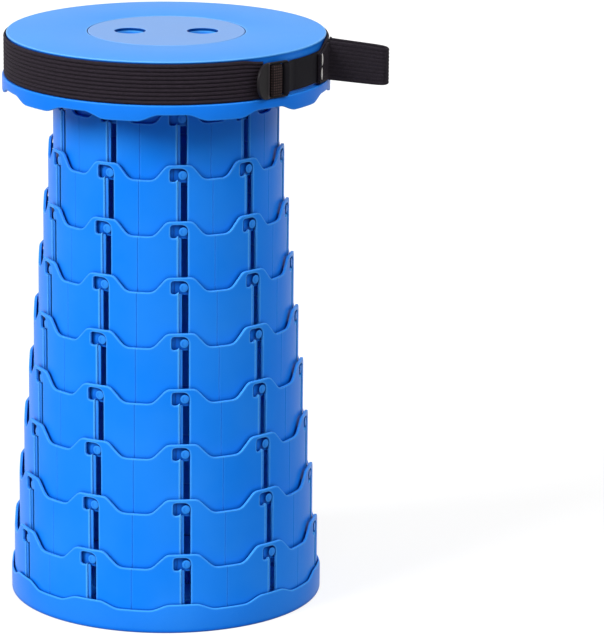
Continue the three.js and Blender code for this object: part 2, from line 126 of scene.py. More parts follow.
# %% The shared sizes
MM = 0.001
GAP = 0.3
SECTORS = 10
SECTOR = 2 * math.pi / SECTORS
BODY_AZIMUTH = math.radians(6.3)
SLIDES = 9
TRAVEL = 42.9
PIN_HEIGHT = 6.4
CREST_ABOVE_PIN = 7.9
SLEEVE_HEIGHT = PIN_HEIGHT + TRAVEL + CREST_ABOVE_PIN
SLEEVE_WALL = 2.3
SLEEVE_STEP = 4.05
OUTER_SLEEVE_RADIUS = 120.3


def sleeve_radius(index):
    """Each sleeve is smaller than the next one out by one step."""
    return OUTER_SLEEVE_RADIUS - (SLIDES - index) * SLEEVE_STEP


def solid_heights(node):
    """The heights of a solid's lowest and highest points, from the frame."""
    low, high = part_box(node)
    return low[2] / MM, high[2] / MM


SEAT_TOP = solid_heights("seat_top")[1]
print("The seat's top is at", round(SEAT_TOP, 1), "mm; the innermost sleeve's radius is", sleeve_radius(0))

# %% [markdown]
# ## Parts made of numbers
#
# Most pieces of the stool are one form repeated round its axis. They could be modelled by hand and copied
# with an array modifier, but every size here follows from another, so they are worked out as numbers. A
# part is a pair: an array of its vertices, and the list of its faces. It can be turned, copied and joined
# as a whole, and becomes an object at the end.

# %% Turn, copy and join
def on_cylinder(radius, azimuth, height):
    """Azimuth a at radius r is x = r sin a, y = -r cos a."""
    return np.stack(np.broadcast_arrays(radius * np.sin(azimuth), -radius * np.cos(azimuth), height), axis=-1)


def full_turn(count):
    """Equal steps of 2 pi over the count, from 0 up to the last one before a full turn."""
    return np.linspace(0, 2 * math.pi, count + 1)[:-1]


def turned(part, azimuth):
    """The part turned about the stool's axis: x' = x cos a - y sin a, y' = x sin a + y cos a."""
    vertices, faces = part
    cos, sin = math.cos(azimuth), math.sin(azimuth)
    x, y, z = vertices.T
    return np.column_stack([x * cos - y * sin, x * sin + y * cos, z]), faces


def join(parts):
    """Several parts in one: the faces of each count on from the vertices before it."""
    vertices = []
    faces = []
    total = 0
    for part_vertices, part_faces in parts:
        vertices.append(part_vertices)
        faces.extend([[index + total for index in face] for face in part_faces])
        total += len(part_vertices)
    return np.concatenate(vertices), faces


def round_the_axis(part, count, first=0.0):
    """Copies of the part, turned by the first azimuth plus whole shares of a full turn."""
    return join([turned(part, first + i * 2 * math.pi / count) for i in range(count)])


print("The second crest of a sleeve is at", round(math.degrees(BODY_AZIMUTH + SECTOR), 1), "degrees")


# %% A part becomes an object
def mesh_object(name, part, material, uvs=None, sharp_degrees=35, weighted=False):
    """A mesh object in metres. Edges that turn by more than the sharp angle are shaded as edges, and
    weighted normals keep wide faces flat beside narrow rounded edges."""
    vertices, faces = part
    mesh = bpy.data.meshes.new(name)
    loops = [tuple(int(i) for i in face) for face in faces]
    mesh.from_pydata((np.asarray(vertices) * MM).tolist(), [], loops)
    if uvs is not None:
        layer = mesh.uv_layers.new(name="cloth")
        layer.data.foreach_set("uv", np.asarray(uvs, dtype=np.float32).ravel())
    mesh.validate()
    mesh.polygons.foreach_set("use_smooth", [True] * len(mesh.polygons))
    mesh.set_sharp_from_angle(angle=math.radians(sharp_degrees))
    mesh.materials.append(material)
    piece = bpy.data.objects.new(name, mesh)
    bpy.context.scene.collection.objects.link(piece)
    if weighted:
        modifier = piece.modifiers.new("weighted", "WEIGHTED_NORMAL")
        modifier.keep_sharp = True
    return piece


def place(piece, body, slot, *nodes):
    """The piece rides on a body and stands for solids of the frame. The slot is not used."""
    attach(piece, body)
    if nodes:
        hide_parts(*nodes)
    print(piece.name, "has", len(piece.data.polygons), "faces and rides on", body)


def face_centres(piece):
    """The middle of every face, in mm, and its distance from the stool's axis, sqrt(x^2 + y^2)."""
    centres = np.empty(len(piece.data.polygons) * 3)
    piece.data.polygons.foreach_get("center", centres)
    centres = centres.reshape(-1, 3) / MM
    return centres, np.hypot(centres[:, 0], centres[:, 1])


def finish_faces(piece, chosen, material):
    """A material of their own for the chosen faces."""
    polygons = piece.data.polygons
    finish = np.empty(len(polygons), dtype=np.int32)
    polygons.foreach_get("material_index", finish)
    finish[chosen] = len(piece.data.materials)
    piece.data.materials.append(material)
    polygons.foreach_set("material_index", finish)


print("Parts are in mm and meshes in metres, so a mesh's numbers are", MM, "times the part's")

# %% [markdown]
# ## The moulded plastic
#
# The blue parts are moulded from one satin plastic. Close up it has a very fine grain and slow changes of
# tone. A painted highlight makes its convex edges paler, and painted shade darkens narrow gaps. This could be
# painted on an image, but an image has to be wrapped round every piece and shows its pixels. It is worked out
# in
# the material instead: grain and tone are noise in the piece's own coordinates, and edges and gaps are found by
# how much of what is near a point is open.

# %% Nodes in few words
def node_tree(name):
    """An empty material: its nodes, its links and the surface's Principled shader."""
    material = bpy.data.materials.new(name)
    material.use_nodes = True
    nodes = material.node_tree.nodes
    links = material.node_tree.links
    nodes.clear()
    output = nodes.new("ShaderNodeOutputMaterial")
    shader = nodes.new("ShaderNodeBsdfPrincipled")
    links.new(shader.outputs["BSDF"], output.inputs["Surface"])
    return material, nodes, links, shader


def noise(nodes, links, scale, detail, vector):
    """A noise texture; its Fac output runs from 0 to 1."""
    texture = nodes.new("ShaderNodeTexNoise")
    texture.inputs["Scale"].default_value = scale
    texture.inputs["Detail"].default_value = detail
    links.new(vector, texture.inputs["Vector"])
    return texture.outputs["Fac"]


def mapped(nodes, links, value, low, high, from_low=0.0, from_high=1.0):
    """low plus (high - low) times the value's place between from_low and from_high, clamped."""
    remap = nodes.new("ShaderNodeMapRange")
    remap.inputs["From Min"].default_value = from_low
    remap.inputs["From Max"].default_value = from_high
    remap.inputs["To Min"].default_value = low
    remap.inputs["To Max"].default_value = high
    links.new(value, remap.inputs["Value"])
    return remap.outputs["Result"]


print("A value can be mapped from one range to another")


# %% Mix, count and tilt
def mixed(nodes, links, factor, first, second):
    """first times (1 - factor) plus second times factor. Each colour is a tuple or a socket."""
    mix = nodes.new("ShaderNodeMix")
    mix.data_type = "RGBA"
    links.new(factor, mix.inputs["Factor"])
    for colour, socket in ((first, mix.inputs[6]), (second, mix.inputs[7])):
        if isinstance(colour, tuple):
            socket.default_value = (*colour, 1)
        else:
            links.new(colour, socket)
    return mix.outputs[2]


def arithmetic(nodes, links, operation, first, second):
    """One operation of two values, each a number or a socket."""
    node = nodes.new("ShaderNodeMath")
    node.operation = operation
    for value, socket in zip((first, second), node.inputs):
        if isinstance(value, (int, float)):
            socket.default_value = value
        else:
            links.new(value, socket)
    return node.outputs[0]


def add_bump(nodes, links, shader, height, strength, distance):
    """The shader's normal tilts as a height of the given distance in metres would tilt it."""
    bump = nodes.new("ShaderNodeBump")
    bump.inputs["Strength"].default_value = strength
    bump.inputs["Distance"].default_value = distance
    links.new(height, bump.inputs["Height"])
    links.new(bump.outputs["Normal"], shader.inputs["Normal"])


print("Colours can be mixed, values counted and a surface tilted")

# %% What is open nearby
OPEN_SAMPLES = 8
GAP_SHADE_REACH = 0.005
EDGE_HIGHLIGHT_REACH = 0.0017
FINE_EDGE_HIGHLIGHT_REACH = 0.0006


def nearby_open(nodes, reach, inside):
    """The share of directions in which nothing lies within the reach: outwards it is low in gaps, and
    inside the piece's own wall it is low along convex edges."""
    occlusion = nodes.new("ShaderNodeAmbientOcclusion")
    occlusion.samples = OPEN_SAMPLES
    occlusion.inside = inside
    occlusion.only_local = inside
    occlusion.inputs["Distance"].default_value = reach
    return occlusion.outputs["AO"]


# The darkened gaps are painted shade, and the paler edges are a painted highlight.
print("Gaps up to", GAP_SHADE_REACH / MM, "mm look deep; edges are rubbed over", EDGE_HIGHLIGHT_REACH / MM, "mm")

# %% The plastic
# A noise is its scale and its detail. A range is two results and the two values that they stand for.
TONE_NOISE = (14, 3)
TONE_RANGE = (0.0, 0.15, 0.3, 0.7)
EDGE_HIGHLIGHT_RANGE = (0.9, 0.0, 0.6, 0.92)
GAP_SHADE_RANGE = (0.0, 1.0, 0.2, 0.85)
GRAIN_NOISE = (1500, 2)
MOULD_NOISE = (60, 1)
MOULD_SHARE = 2.0
GRAIN_STRENGTH = 0.3
GRAIN_HEIGHT = 0.0001
PLASTIC_GLOSS = 0.09
ROUGHNESS_SPREAD = 0.05


def moulded_plastic(name, colour, pale_tone_and_highlight, deep, roughness, highlight_reach=EDGE_HIGHLIGHT_REACH):
    """Base colour: the plastic's colour mixed slowly towards a paler one, mixed towards that paler one along
    convex edges as a painted highlight, and darker in narrow gaps as painted shade. Roughness: the given one,
    plus or minus a twentieth. Bump: fine grain plus a slow wave of the mould."""
    material, nodes, links, shader = node_tree(name)
    place_of = nodes.new("ShaderNodeTexCoord").outputs["Object"]
    slow = noise(nodes, links, *TONE_NOISE, place_of)
    fine = noise(nodes, links, *GRAIN_NOISE, place_of)
    toned = mixed(nodes, links, mapped(nodes, links, slow, *TONE_RANGE), colour, pale_tone_and_highlight)
    # Painted highlight: where the wall's inside is open nearby, at convex edges, the colour is mixed towards
    # the paler one.
    edge = nearby_open(nodes, highlight_reach, True)
    edge_highlighted = mixed(nodes, links, mapped(nodes, links, edge, *EDGE_HIGHLIGHT_RANGE), toned, pale_tone_and_highlight)
    # Painted shade: where little outside is open, in narrow gaps and under the seat, the colour is mixed
    # towards the deep one.
    unshaded_share = mapped(nodes, links, nearby_open(nodes, GAP_SHADE_REACH, False), *GAP_SHADE_RANGE)
    links.new(mixed(nodes, links, unshaded_share, deep, edge_highlighted), shader.inputs["Base Color"])
    least, most = roughness - ROUGHNESS_SPREAD, roughness + ROUGHNESS_SPREAD
    links.new(mapped(nodes, links, slow, least, most), shader.inputs["Roughness"])
    wave = noise(nodes, links, *MOULD_NOISE, place_of)
    height = arithmetic(nodes, links, "ADD", arithmetic(nodes, links, "MULTIPLY", wave, MOULD_SHARE), fine)
    add_bump(nodes, links, shader, height, GRAIN_STRENGTH, GRAIN_HEIGHT)
    shader.inputs["Specular IOR Level"].default_value = PLASTIC_GLOSS
    return material


# Colours: the plastic's own, a paler one for tone and the painted edge highlight, and the painted shade of
# gaps.
SLEEVE_BLUE = moulded_plastic(
    "sleeve_plastic", (0.003, 0.218, 0.92), (0.09, 0.44, 0.98), (0.0, 0.05, 0.40), 0.38
)
print(SLEEVE_BLUE.name, "has", len(SLEEVE_BLUE.node_tree.nodes), "nodes")

# %% [markdown]
# ## The sleeves
#
# A sleeve is a thin tube with a waved upper edge. Under each of its ten crests is a slot in the form of a
# J, and a fine seam runs down the middle of each trough. The slots could be cut out of a tube with boolean
# modifiers, but ninety cuts leave ragged faces and no rounded edges. So a tenth of a sleeve, a panel, is
# drawn flat with its slot as a hole. Blender's 2D curve gives it a thickness and rounds its edges, and then
# it is bent and copied.

# %% Outlines with rounded corners
def rounded(corners, steps=4):
    """A closed outline from corners (x, y, radius). A corner's tangent length is its radius, at most half
    of either side, and the corner becomes the quadratic curve (1-u)^2 A + 2u(1-u) P + u^2 C between the two
    tangent points A and C."""
    points = []
    count = len(corners)
    for i, (x, y, radius) in enumerate(corners):
        here = np.array([x, y], float)
        before = np.array(corners[i - 1][:2], float) - here
        after = np.array(corners[(i + 1) % count][:2], float) - here
        reach = min(radius, np.linalg.norm(before) / 2, np.linalg.norm(after) / 2)
        if reach <= 0:
            points.append(here)
            continue
        start = here + before / np.linalg.norm(before) * reach
        end = here + after / np.linalg.norm(after) * reach
        for u in np.linspace(0, 1, steps + 1):
            points.append((1 - u) ** 2 * start + 2 * u * (1 - u) * here + u * u * end)
    return np.array(points)


def rectangle(left, low, right, high, radii, steps=4):
    """A rounded outline with its radii in the order lower left, lower right, upper right, upper left."""
    corners = ((left, low), (right, low), (right, high), (left, high))
    return rounded([(x, y, radius) for (x, y), radius in zip(corners, radii)], steps)


rounded_square = rectangle(0, 0, 10, 10, (1, 1, 1, 1))
print("A rounded square has", len(rounded_square), "points")

# %% The outline of a slot
SLOT_WIDTH = 7.6
SLOT_SHIFT = 2.6
SLOT_LEFT = SLOT_SHIFT - SLOT_WIDTH / 2
SLOT_FOOT = PIN_HEIGHT - SLOT_WIDTH / 2
HOOK_REACH = 6.2
HOOK_RISE = 5.4
HOOK_DROP = 5
SILL_DROP = 3.2


def slot_outline():
    """The slot: a channel as wide as a pin, and a hook at its top left with a round bed."""
    right = SLOT_SHIFT + SLOT_WIDTH / 2
    end = SLOT_SHIFT - HOOK_REACH - SLOT_WIDTH / 2
    pin = PIN_HEIGHT + TRAVEL
    roof = pin + HOOK_RISE
    bed = pin - HOOK_DROP
    corners = [
        (SLOT_LEFT, SLOT_FOOT, 0.8),
        (right, SLOT_FOOT, 0.8),
        (right, roof, 6.2),
        (end, roof, 2.6),
        (end, bed, 3.4),
        (SLOT_LEFT - HOOK_DROP + SILL_DROP, bed, 2.2),
        (SLOT_LEFT, pin - SILL_DROP, 0.8),
    ]
    return rounded(corners, steps=6)


print("The slot's outline has", len(slot_outline()), "points")

# %% A flat plate with rounded edges
BEVEL_STEPS = 2


def plate(outline, holes, low, high, bevel):
    """A flat plate with holes, its edges rounded by the bevel. x and y are the outline's, z runs from low
    to high. It is a filled 2D curve: half its thickness is the extrusion plus the bevel, and the outline is
    offset by minus the bevel, so that the bevel ends on the outline."""
    curve = bpy.data.curves.new("plate", "CURVE")
    curve.dimensions = "2D"
    curve.fill_mode = "BOTH"
    curve.extrude = (high - low) / 2 - bevel
    curve.bevel_depth = bevel
    curve.bevel_resolution = BEVEL_STEPS
    curve.offset = -bevel
    for ring in [outline, *holes]:
        spline = curve.splines.new("POLY")
        spline.points.add(len(ring) - 1)
        filled = np.column_stack([ring, np.zeros(len(ring)), np.ones(len(ring))])
        spline.points.foreach_set("co", filled.ravel())
        spline.use_cyclic_u = True
    maker = bpy.data.objects.new("plate", curve)
    mesh = bpy.data.meshes.new_from_object(maker)
    vertices = np.empty(len(mesh.vertices) * 3)
    mesh.vertices.foreach_get("co", vertices)
    vertices = vertices.reshape(-1, 3)
    vertices[:, 2] += (low + high) / 2
    faces = [list(polygon.vertices) for polygon in mesh.polygons]
    bpy.data.meshes.remove(mesh)
    bpy.data.objects.remove(maker)
    bpy.data.curves.remove(curve)
    return vertices, faces


print("A square plate has", len(plate(rounded_square, [], 0, 2, 0.5)[1]), "faces")

# %% A flat panel
CREST_HALF = math.radians(6)
SLOPE_END = math.radians(12)
TROUGH_DROP = 11.7
EDGE = 0.5
PANEL_SPARE = 3


def panel(index, foot):
    """One sector of a sleeve, flat: x is the arc length from the middle of its crest. It is a little too
    wide, because the rounded edges at its two sides are cut off later."""
    radius = sleeve_radius(index)
    side = radius * SECTOR / 2 + PANEL_SPARE
    crest = radius * CREST_HALF
    slope = radius * SLOPE_END
    low = SLEEVE_HEIGHT - TROUGH_DROP
    corners = [
        (-side, foot, 0),
        (side, foot, 0),
        (side, low, 0),
        (slope, low, 4),
        (crest, SLEEVE_HEIGHT, 3.2),
        (-crest, SLEEVE_HEIGHT, 3.2),
        (-slope, low, 4),
        (-side, low, 0),
    ]
    return plate(rounded(corners), [slot_outline()], -SLEEVE_WALL, 0, EDGE)


print("A flat panel has", len(panel(1, 0)[1]), "faces")

# %% [markdown]
# ### Bending the panels
#
# A panel has long faces that would stay flat when it is bent. A simple deform modifier could bend it, but
# it needs the same cuts. So the panel is cut into strips two degrees wide and its x becomes an arc.
# Neighbours have to meet corner to corner, or the tube is left with open seams, so each corner on one side
# of the panel gets a twin on the other. Along both sides the outer face is sunk a little, and that makes
# the seam.

# %% Cut into strips
SAME_PLACE = 1e-4
ON_PLANE = 1e-5


def as_bmesh(part):
    """The part as a bmesh. A face that is there already is left out."""
    vertices, faces = part
    work = bmesh.new()
    made = [work.verts.new(point) for point in vertices]
    for face in faces:
        try:
            work.faces.new([made[index] for index in face])
        except ValueError:
            continue
    return work


def as_part(work):
    """The bmesh as vertices and faces."""
    work.verts.index_update()
    vertices = np.array([vertex.co[:] for vertex in work.verts])
    faces = [[vertex.index for vertex in face.verts] for face in work.faces]
    work.free()
    return vertices, faces


def sliced(part, planes, ends=()):
    """The part cut by planes across x, so that it can bend between them. What lies past its two ends, if
    they are given, is thrown away."""
    work = as_bmesh(part)
    bmesh.ops.remove_doubles(work, verts=work.verts[:], dist=SAME_PLACE)
    cuts = [(x, 1, False) for x in planes] + [(x, side, True) for x, side in zip(ends, (-1, 1))]
    for x, side, clear in cuts:
        everything = work.verts[:] + work.edges[:] + work.faces[:]
        bmesh.ops.bisect_plane(
            work, geom=everything, dist=ON_PLANE, plane_co=(x, 0, 0), plane_no=(side, 0, 0), clear_outer=clear
        )
    return as_part(work)


print("A panel cut down its middle has", len(sliced(panel(1, 0), [0])[1]), "faces")

# %% Twins on both sides
MATCH = 0.002


def matched_sides(part, planes):
    """Each corner that lies on one of the planes across x gets a twin on the other, at the same y and z, so
    that neighbouring panels meet corner to corner. A twin goes in an edge from a to b where the cross
    product of p - a with b - a is 0 and the share (p - a).(b - a) / |b - a|^2 is between 0 and 1."""
    vertices, faces = part
    on_planes = [np.abs(vertices[:, 0] - x) < SAME_PLACE for x in planes]
    places = np.unique(np.round(vertices[on_planes[0] | on_planes[1], 1:], 3), axis=0)
    grown = [list(vertex) for vertex in vertices]
    twins = {}
    result = []
    for face in faces:
        loop = []
        for here, after in zip(face, face[1:] + face[:1]):
            loop.append(here)
            for x, on_plane in zip(planes, on_planes):
                if not (on_plane[here] and on_plane[after]):
                    continue
                span = vertices[after, 1:] - vertices[here, 1:]
                length = np.linalg.norm(span)
                offset = places - vertices[here, 1:]
                beside = np.abs(offset[:, 0] * span[1] - offset[:, 1] * span[0]) / length
                along = offset @ span / length
                between = (beside < MATCH) & (along > MATCH) & (along < length - MATCH)
                for index in np.flatnonzero(between)[np.argsort(along[between])]:
                    if (x, index) not in twins:
                        twins[x, index] = len(grown)
                        grown.append([x, *places[index]])
                    loop.append(twins[x, index])
        result.append(loop)
    return np.array(grown), result


print("Corners closer than", MATCH, "mm count as one")

# %% Bend and weld
SLICE = math.radians(2)
SEAM_SHIFT = 2.3
SEAM_HALF = 0.5
SEAM_DEPTH = 0.4


def bent(part, radius):
    """A plate laid on a cylinder: its x becomes an arc length at the radius, its y the height, and its z
    the distance outwards from the radius."""
    vertices, faces = part
    x, y, z = vertices.T
    return on_cylinder(radius + z, x / radius, y), faces


def welded(part, distance):
    """The part with vertices closer than the distance made one, and its faces turned outwards."""
    work = as_bmesh(part)
    bmesh.ops.remove_doubles(work, verts=work.verts[:], dist=distance)
    bmesh.ops.recalc_face_normals(work, faces=work.faces[:])
    return as_part(work)


def bent_panel(index, foot):
    """The panel cut at its sides and every two degrees, its outer face sunk along each side, and bent. Both
    sides lie a little left of the trough's middle, one sector from each other."""
    radius = sleeve_radius(index)
    half = radius * SECTOR / 2
    left = -half - SEAM_SHIFT
    right = half - SEAM_SHIFT
    steps = np.arange(-SECTOR / 2 + SLICE, SECTOR / 2 - SLICE, SLICE) * radius
    planes = [*steps, left + SEAM_HALF, right - SEAM_HALF]
    vertices, faces = matched_sides(sliced(panel(index, foot), planes, (left, right)), (left, right))
    at_side = (vertices[:, 0] < left + SEAM_HALF / 10) | (vertices[:, 0] > right - SEAM_HALF / 10)
    vertices[at_side & (vertices[:, 2] > -EDGE - 0.01), 2] -= SEAM_DEPTH
    return bent((vertices, faces), radius)


print("A bent panel has", len(bent_panel(1, 0)[1]), "faces")

# %% [markdown]
# ### Pins, pads and ledges
#
# At the foot of a sleeve ten round pins stand out and run in the slots of the next sleeve. Each grows from
# a pad, and a narrow ledge beside every slot keeps the pin's head from falling through. They could be
# cylinders and cubes from the Add menu, but a turned profile gives the pin its domed tip, and a bent plate
# lies close to the curved wall.

# %% The ledge beside a slot
LEDGE_WIDTH = 2.4
LEDGE_IN_WALL = 1
LEDGE_EDGE = 0.2


def ledge(index):
    """The strip on the left of the slot that the pin's head runs on, in the inner half of the wall."""
    top = PIN_HEIGHT + TRAVEL - SILL_DROP - 1.5
    outline = rectangle(
        SLOT_LEFT - LEDGE_IN_WALL, SLOT_FOOT - 0.5, SLOT_LEFT + LEDGE_WIDTH, top, (0, 0, 1.5, 0)
    )
    return bent(plate(outline, [], -SLEEVE_WALL + 0.1, -SLEEVE_WALL / 2, LEDGE_EDGE), sleeve_radius(index))


print("A ledge has", len(ledge(1)[1]), "faces")

# %% The pin
PIN_RADIUS = 3.4
PIN_RECESS = 0.45
PIN_SIDES = 32
NECK_RADIUS = 2.1
NECK_SHIFT = 1.2
NECK_BITE = 0.1
NECK_OVERLAP = 0.3
HEAD_GAP = 0.15
HEAD_DOME = 0.35
NECK_DOME = 0.1
CROWN_SHARE = 0.55
POLE_RADIUS = 0.01
POLE_WELD = 0.025


def grid_quads(rows, strips, columns):
    """Quads between the rows of a grid that is closed across its columns: corner (i, j) is vertex i columns
    + j, and a quad joins it to row i + 1 and column j + 1. With as many strips as rows the last row meets
    the first."""
    i, j = np.meshgrid(np.arange(strips), np.arange(columns), indexing="ij")
    next_i = (i + 1) % rows
    next_j = (j + 1) % columns
    corners = [i * columns + j, next_i * columns + j, next_i * columns + next_j, i * columns + next_j]
    return np.stack(corners, axis=-1).reshape(-1, 4).tolist()


def lathe(sections, azimuths):
    """A closed section at every azimuth, joined by quads. sections has the shape (azimuth, corner, 2) and
    holds (radius, height)."""
    rows, columns = sections.shape[:2]
    vertices = on_cylinder(sections[..., 0], azimuths[:, None], sections[..., 1]).reshape(-1, 3)
    return vertices, grid_quads(rows, rows, columns)


def domed_rod(radius, low, high, dome, shift):
    """A lathe about an axis that points outwards at the front: the profile's radius is measured from the
    rod's own axis, and its height is the distance from the stool's axis."""
    crown = [(radius, high - dome, 0.7), (CROWN_SHARE * radius, high, 0.6), (POLE_RADIUS, high, 0)]
    profile = rounded([(POLE_RADIUS, low, 0), (radius, low, 0.2), *crown], 5)
    sections = np.repeat(profile[None], PIN_SIDES, axis=0)
    vertices, faces = lathe(sections, full_turn(PIN_SIDES))
    x, y, z = vertices.T
    return welded((np.column_stack([x + shift, -z, y]), faces), POLE_WELD)


def pin(index):
    """A pin at the foot of a sleeve: a narrow neck through the next sleeve's slot, right of its ledge, and
    a round head in the slot's outer half."""
    outer = sleeve_radius(index + 1)
    shoulder = outer - SLEEVE_WALL / 2 + HEAD_GAP
    root = sleeve_radius(index) - NECK_BITE
    head = domed_rod(PIN_RADIUS, shoulder, outer - PIN_RECESS, HEAD_DOME, 0.0)
    neck = domed_rod(NECK_RADIUS, root, shoulder + NECK_OVERLAP, NECK_DOME, NECK_SHIFT)
    vertices, faces = join([head, neck])
    vertices[:, 2] += PIN_HEIGHT
    return turned((vertices, faces), SLOT_SHIFT / outer)


print("A pin has", len(pin(1)[1]), "faces")

# %% The pad under a pin
PAD_WIDTH = 13.4
PAD_FOOT = 0.2
PAD_HEIGHT = 11.6
PAD_BITE = 0.2
PAD_RISE = 0.8
PAD_CUTS = [-2, 0, 2, 4, 6]


def pad(index):
    """The pad that carries a pin and bridges the foot of the sleeve's own slot."""
    half = PAD_WIDTH / 2
    outline = rectangle(SLOT_SHIFT - half, PAD_FOOT, SLOT_SHIFT + half, PAD_HEIGHT, (1, 1, 1.5, 1.5))
    return bent(sliced(plate(outline, [], -PAD_BITE, PAD_RISE, 0.3), PAD_CUTS), sleeve_radius(index))


print("A pad has", len(pad(1)[1]), "faces")

# %% [markdown]
# ### Ten sleeves
#
# The eight middle sleeves have everything: panels, ledges, pads and pins. The innermost is clipped on the
# seat and has pins but no slots, so it is a plain turned tube. The outermost stands in the base and has
# slots but no pins. The pins and the ledges are a slightly darker blue in the photograph, where light
# reaches them less, and their darker material is painted shade. They could be objects of their own, but they
# are moulded in one with their sleeve, so only their faces get another material.

# %% The innermost sleeve
TUBE_SIDES = 240


def plain_tube(index, low, high):
    """A lathe of a rectangle with rounded edges."""
    radius = sleeve_radius(index)
    profile = rectangle(radius - SLEEVE_WALL, low, radius, high, (0.5, 0.5, 0.5, 0.5), 3)
    return lathe(np.repeat(profile[None], TUBE_SIDES, axis=0), full_turn(TUBE_SIDES))


print("A plain tube has", len(plain_tube(0, 0, TRAVEL)[1]), "faces")

# %% Finishes of pins and ledges, with painted shade
TOUCH = 0.1
# A darker copy of the sleeves' plastic for pins, pads and ledges: painted shade.
PIN_SHADED_BLUE = moulded_plastic(
    "pin_painted_shade_plastic", (0.003, 0.16, 0.76), (0.03, 0.28, 0.90), (0.0, 0.03, 0.30), 0.35, FINE_EDGE_HIGHLIGHT_REACH
)
LEDGE_SHADED_BLUE = moulded_plastic(
    "ledge_painted_shade_plastic", (0.003, 0.16, 0.75), (0.03, 0.26, 0.88), (0.0, 0.03, 0.30), 0.38
)


def finish_pins(piece, index):
    """Pins and pads are the faces that stand out from the sleeve's radius."""
    from_axis = face_centres(piece)[1]
    finish_faces(piece, from_axis > sleeve_radius(index) + TOUCH, PIN_SHADED_BLUE)


def finish_ledges(piece, index, origin):
    """Ledges are the faces in the wall's inner half, below the hook, between the slot's left side and the
    ledge's width. The arc is the azimuth from the nearest crest times the radius."""
    centres, from_axis = face_centres(piece)
    turn = np.arctan2(centres[:, 0], -centres[:, 1]) - BODY_AZIMUTH
    arc = ((turn + SECTOR / 2) % SECTOR - SECTOR / 2) * sleeve_radius(index)
    height = centres[:, 2] - origin
    on_ledge = (arc > SLOT_LEFT + 0.02) & (arc < SLOT_LEFT + LEDGE_WIDTH + TOUCH)
    below_hook = (height > 0) & (height < PIN_HEIGHT + TRAVEL - SILL_DROP)
    inner_half = from_axis < sleeve_radius(index) - 1
    finish_faces(piece, on_ledge & below_hook & inner_half, LEDGE_SHADED_BLUE)


print("The finishes are", PIN_SHADED_BLUE.name, "and", LEDGE_SHADED_BLUE.name)

# %% Make the sleeves
def make_sleeve(index, body):
    """A sleeve's heights count from its foot. The outermost is cut off at its foot, so they count from one
    sleeve's height below its top."""
    foot, top = solid_heights(f"sleeve_{index}")
    origin = top - SLEEVE_HEIGHT if index == SLIDES else foot
    if index == 0:
        parts = [plain_tube(0, 0.0, top - foot)]
    else:
        ring = round_the_axis(bent_panel(index, foot - origin), SECTORS, BODY_AZIMUTH)
        parts = [welded(ring, 1.5 * MATCH), round_the_axis(ledge(index), SECTORS, BODY_AZIMUTH)]
    if index < SLIDES:
        parts.append(round_the_axis(pin(index), SECTORS, BODY_AZIMUTH))
        if index > 0:
            parts.append(round_the_axis(pad(index), SECTORS, BODY_AZIMUTH))
    vertices, faces = join(parts)
    vertices[:, 2] += origin
    piece = mesh_object(f"sleeve_{index}_detail", (vertices, faces), SLEEVE_BLUE, weighted=True)
    if index < SLIDES:
        finish_pins(piece, index)
    if index > 0:
        finish_ledges(piece, index, origin)
    place(piece, body, "sleeve_blue", f"sleeve_{index}")


make_sleeve(9, "base")
for stage in range(8, 0, -1):
    make_sleeve(stage, f"stage_{stage}")
make_sleeve(0, "seat")

# %% [markdown]
# ## The seat
#
# The seat is a moulded plate with a rounded rim, a wide groove for the strap, and a skirt whose lower edge
# is a wave of ten flats and ten crests. Inside are a collar for the innermost sleeve and a ledge for the
# cap. It could be a cylinder that is extruded ring by ring, but its one difficult form is the wave. So the
# section is written down twice, at a crest and between two crests, and every azimuth gets a mix of both.

# %% A lathe with waves
WAVE_FLAT = 9
WAVE_SLOPE = 8
WAVE_STATIONS = 720


def wave_share(azimuths, first):
    """0 on the flats round first, 1 on the flats between them. The azimuth from the nearest crest, less
    half a flat, over the slope, is clamped to 0..1 and eased by 3t^2 - 2t^3."""
    offset = np.abs((azimuths - first + SECTOR / 2) % SECTOR - SECTOR / 2)
    t = np.clip((np.degrees(offset) - WAVE_FLAT / 2) / WAVE_SLOPE, 0, 1)
    return 3 * t**2 - 2 * t**3


def wavy_lathe(section_at, first):
    """section_at(0) and section_at(1) have as many corners, so each azimuth's section is a mix of the
    two."""
    azimuths = np.arange(WAVE_STATIONS) * 2 * math.pi / WAVE_STATIONS
    share = wave_share(azimuths, first)[:, None, None]
    sections = (1 - share) * section_at(0)[None] + share * section_at(1)[None]
    return lathe(sections, azimuths)


print("Halfway between two crests the wave's share is", wave_share(SECTOR / 2, 0))

# %% The seat's section
SEAT_PLATE = 2.8
SEAT_RADIUS = 127
RIM_RADIUS = 123.6
RIM_DEPTH = 1.5
GROOVE_RADIUS = 123.1
GROOVE_HEIGHT = 31.3
LIP_TOP = SEAT_TOP - RIM_DEPTH - GROOVE_HEIGHT
LIP_WALL = 2.7
SHOULDER = 1.2
SKIRT_INNER = 121.5
SKIRT_DIP = 40.3
SKIRT_WAVE = 4.9
COLLAR_WALL = 2.2
COLLAR_HEIGHT = 12
CAP_RADIUS = 60.8
CAP_RECESS = CAP_RADIUS + 0.5
CAP_OPENING = 53
CAP_THICKNESS = 3
CAP_LEDGE = 3.2
CAP_LEDGE_WALL = 2.4


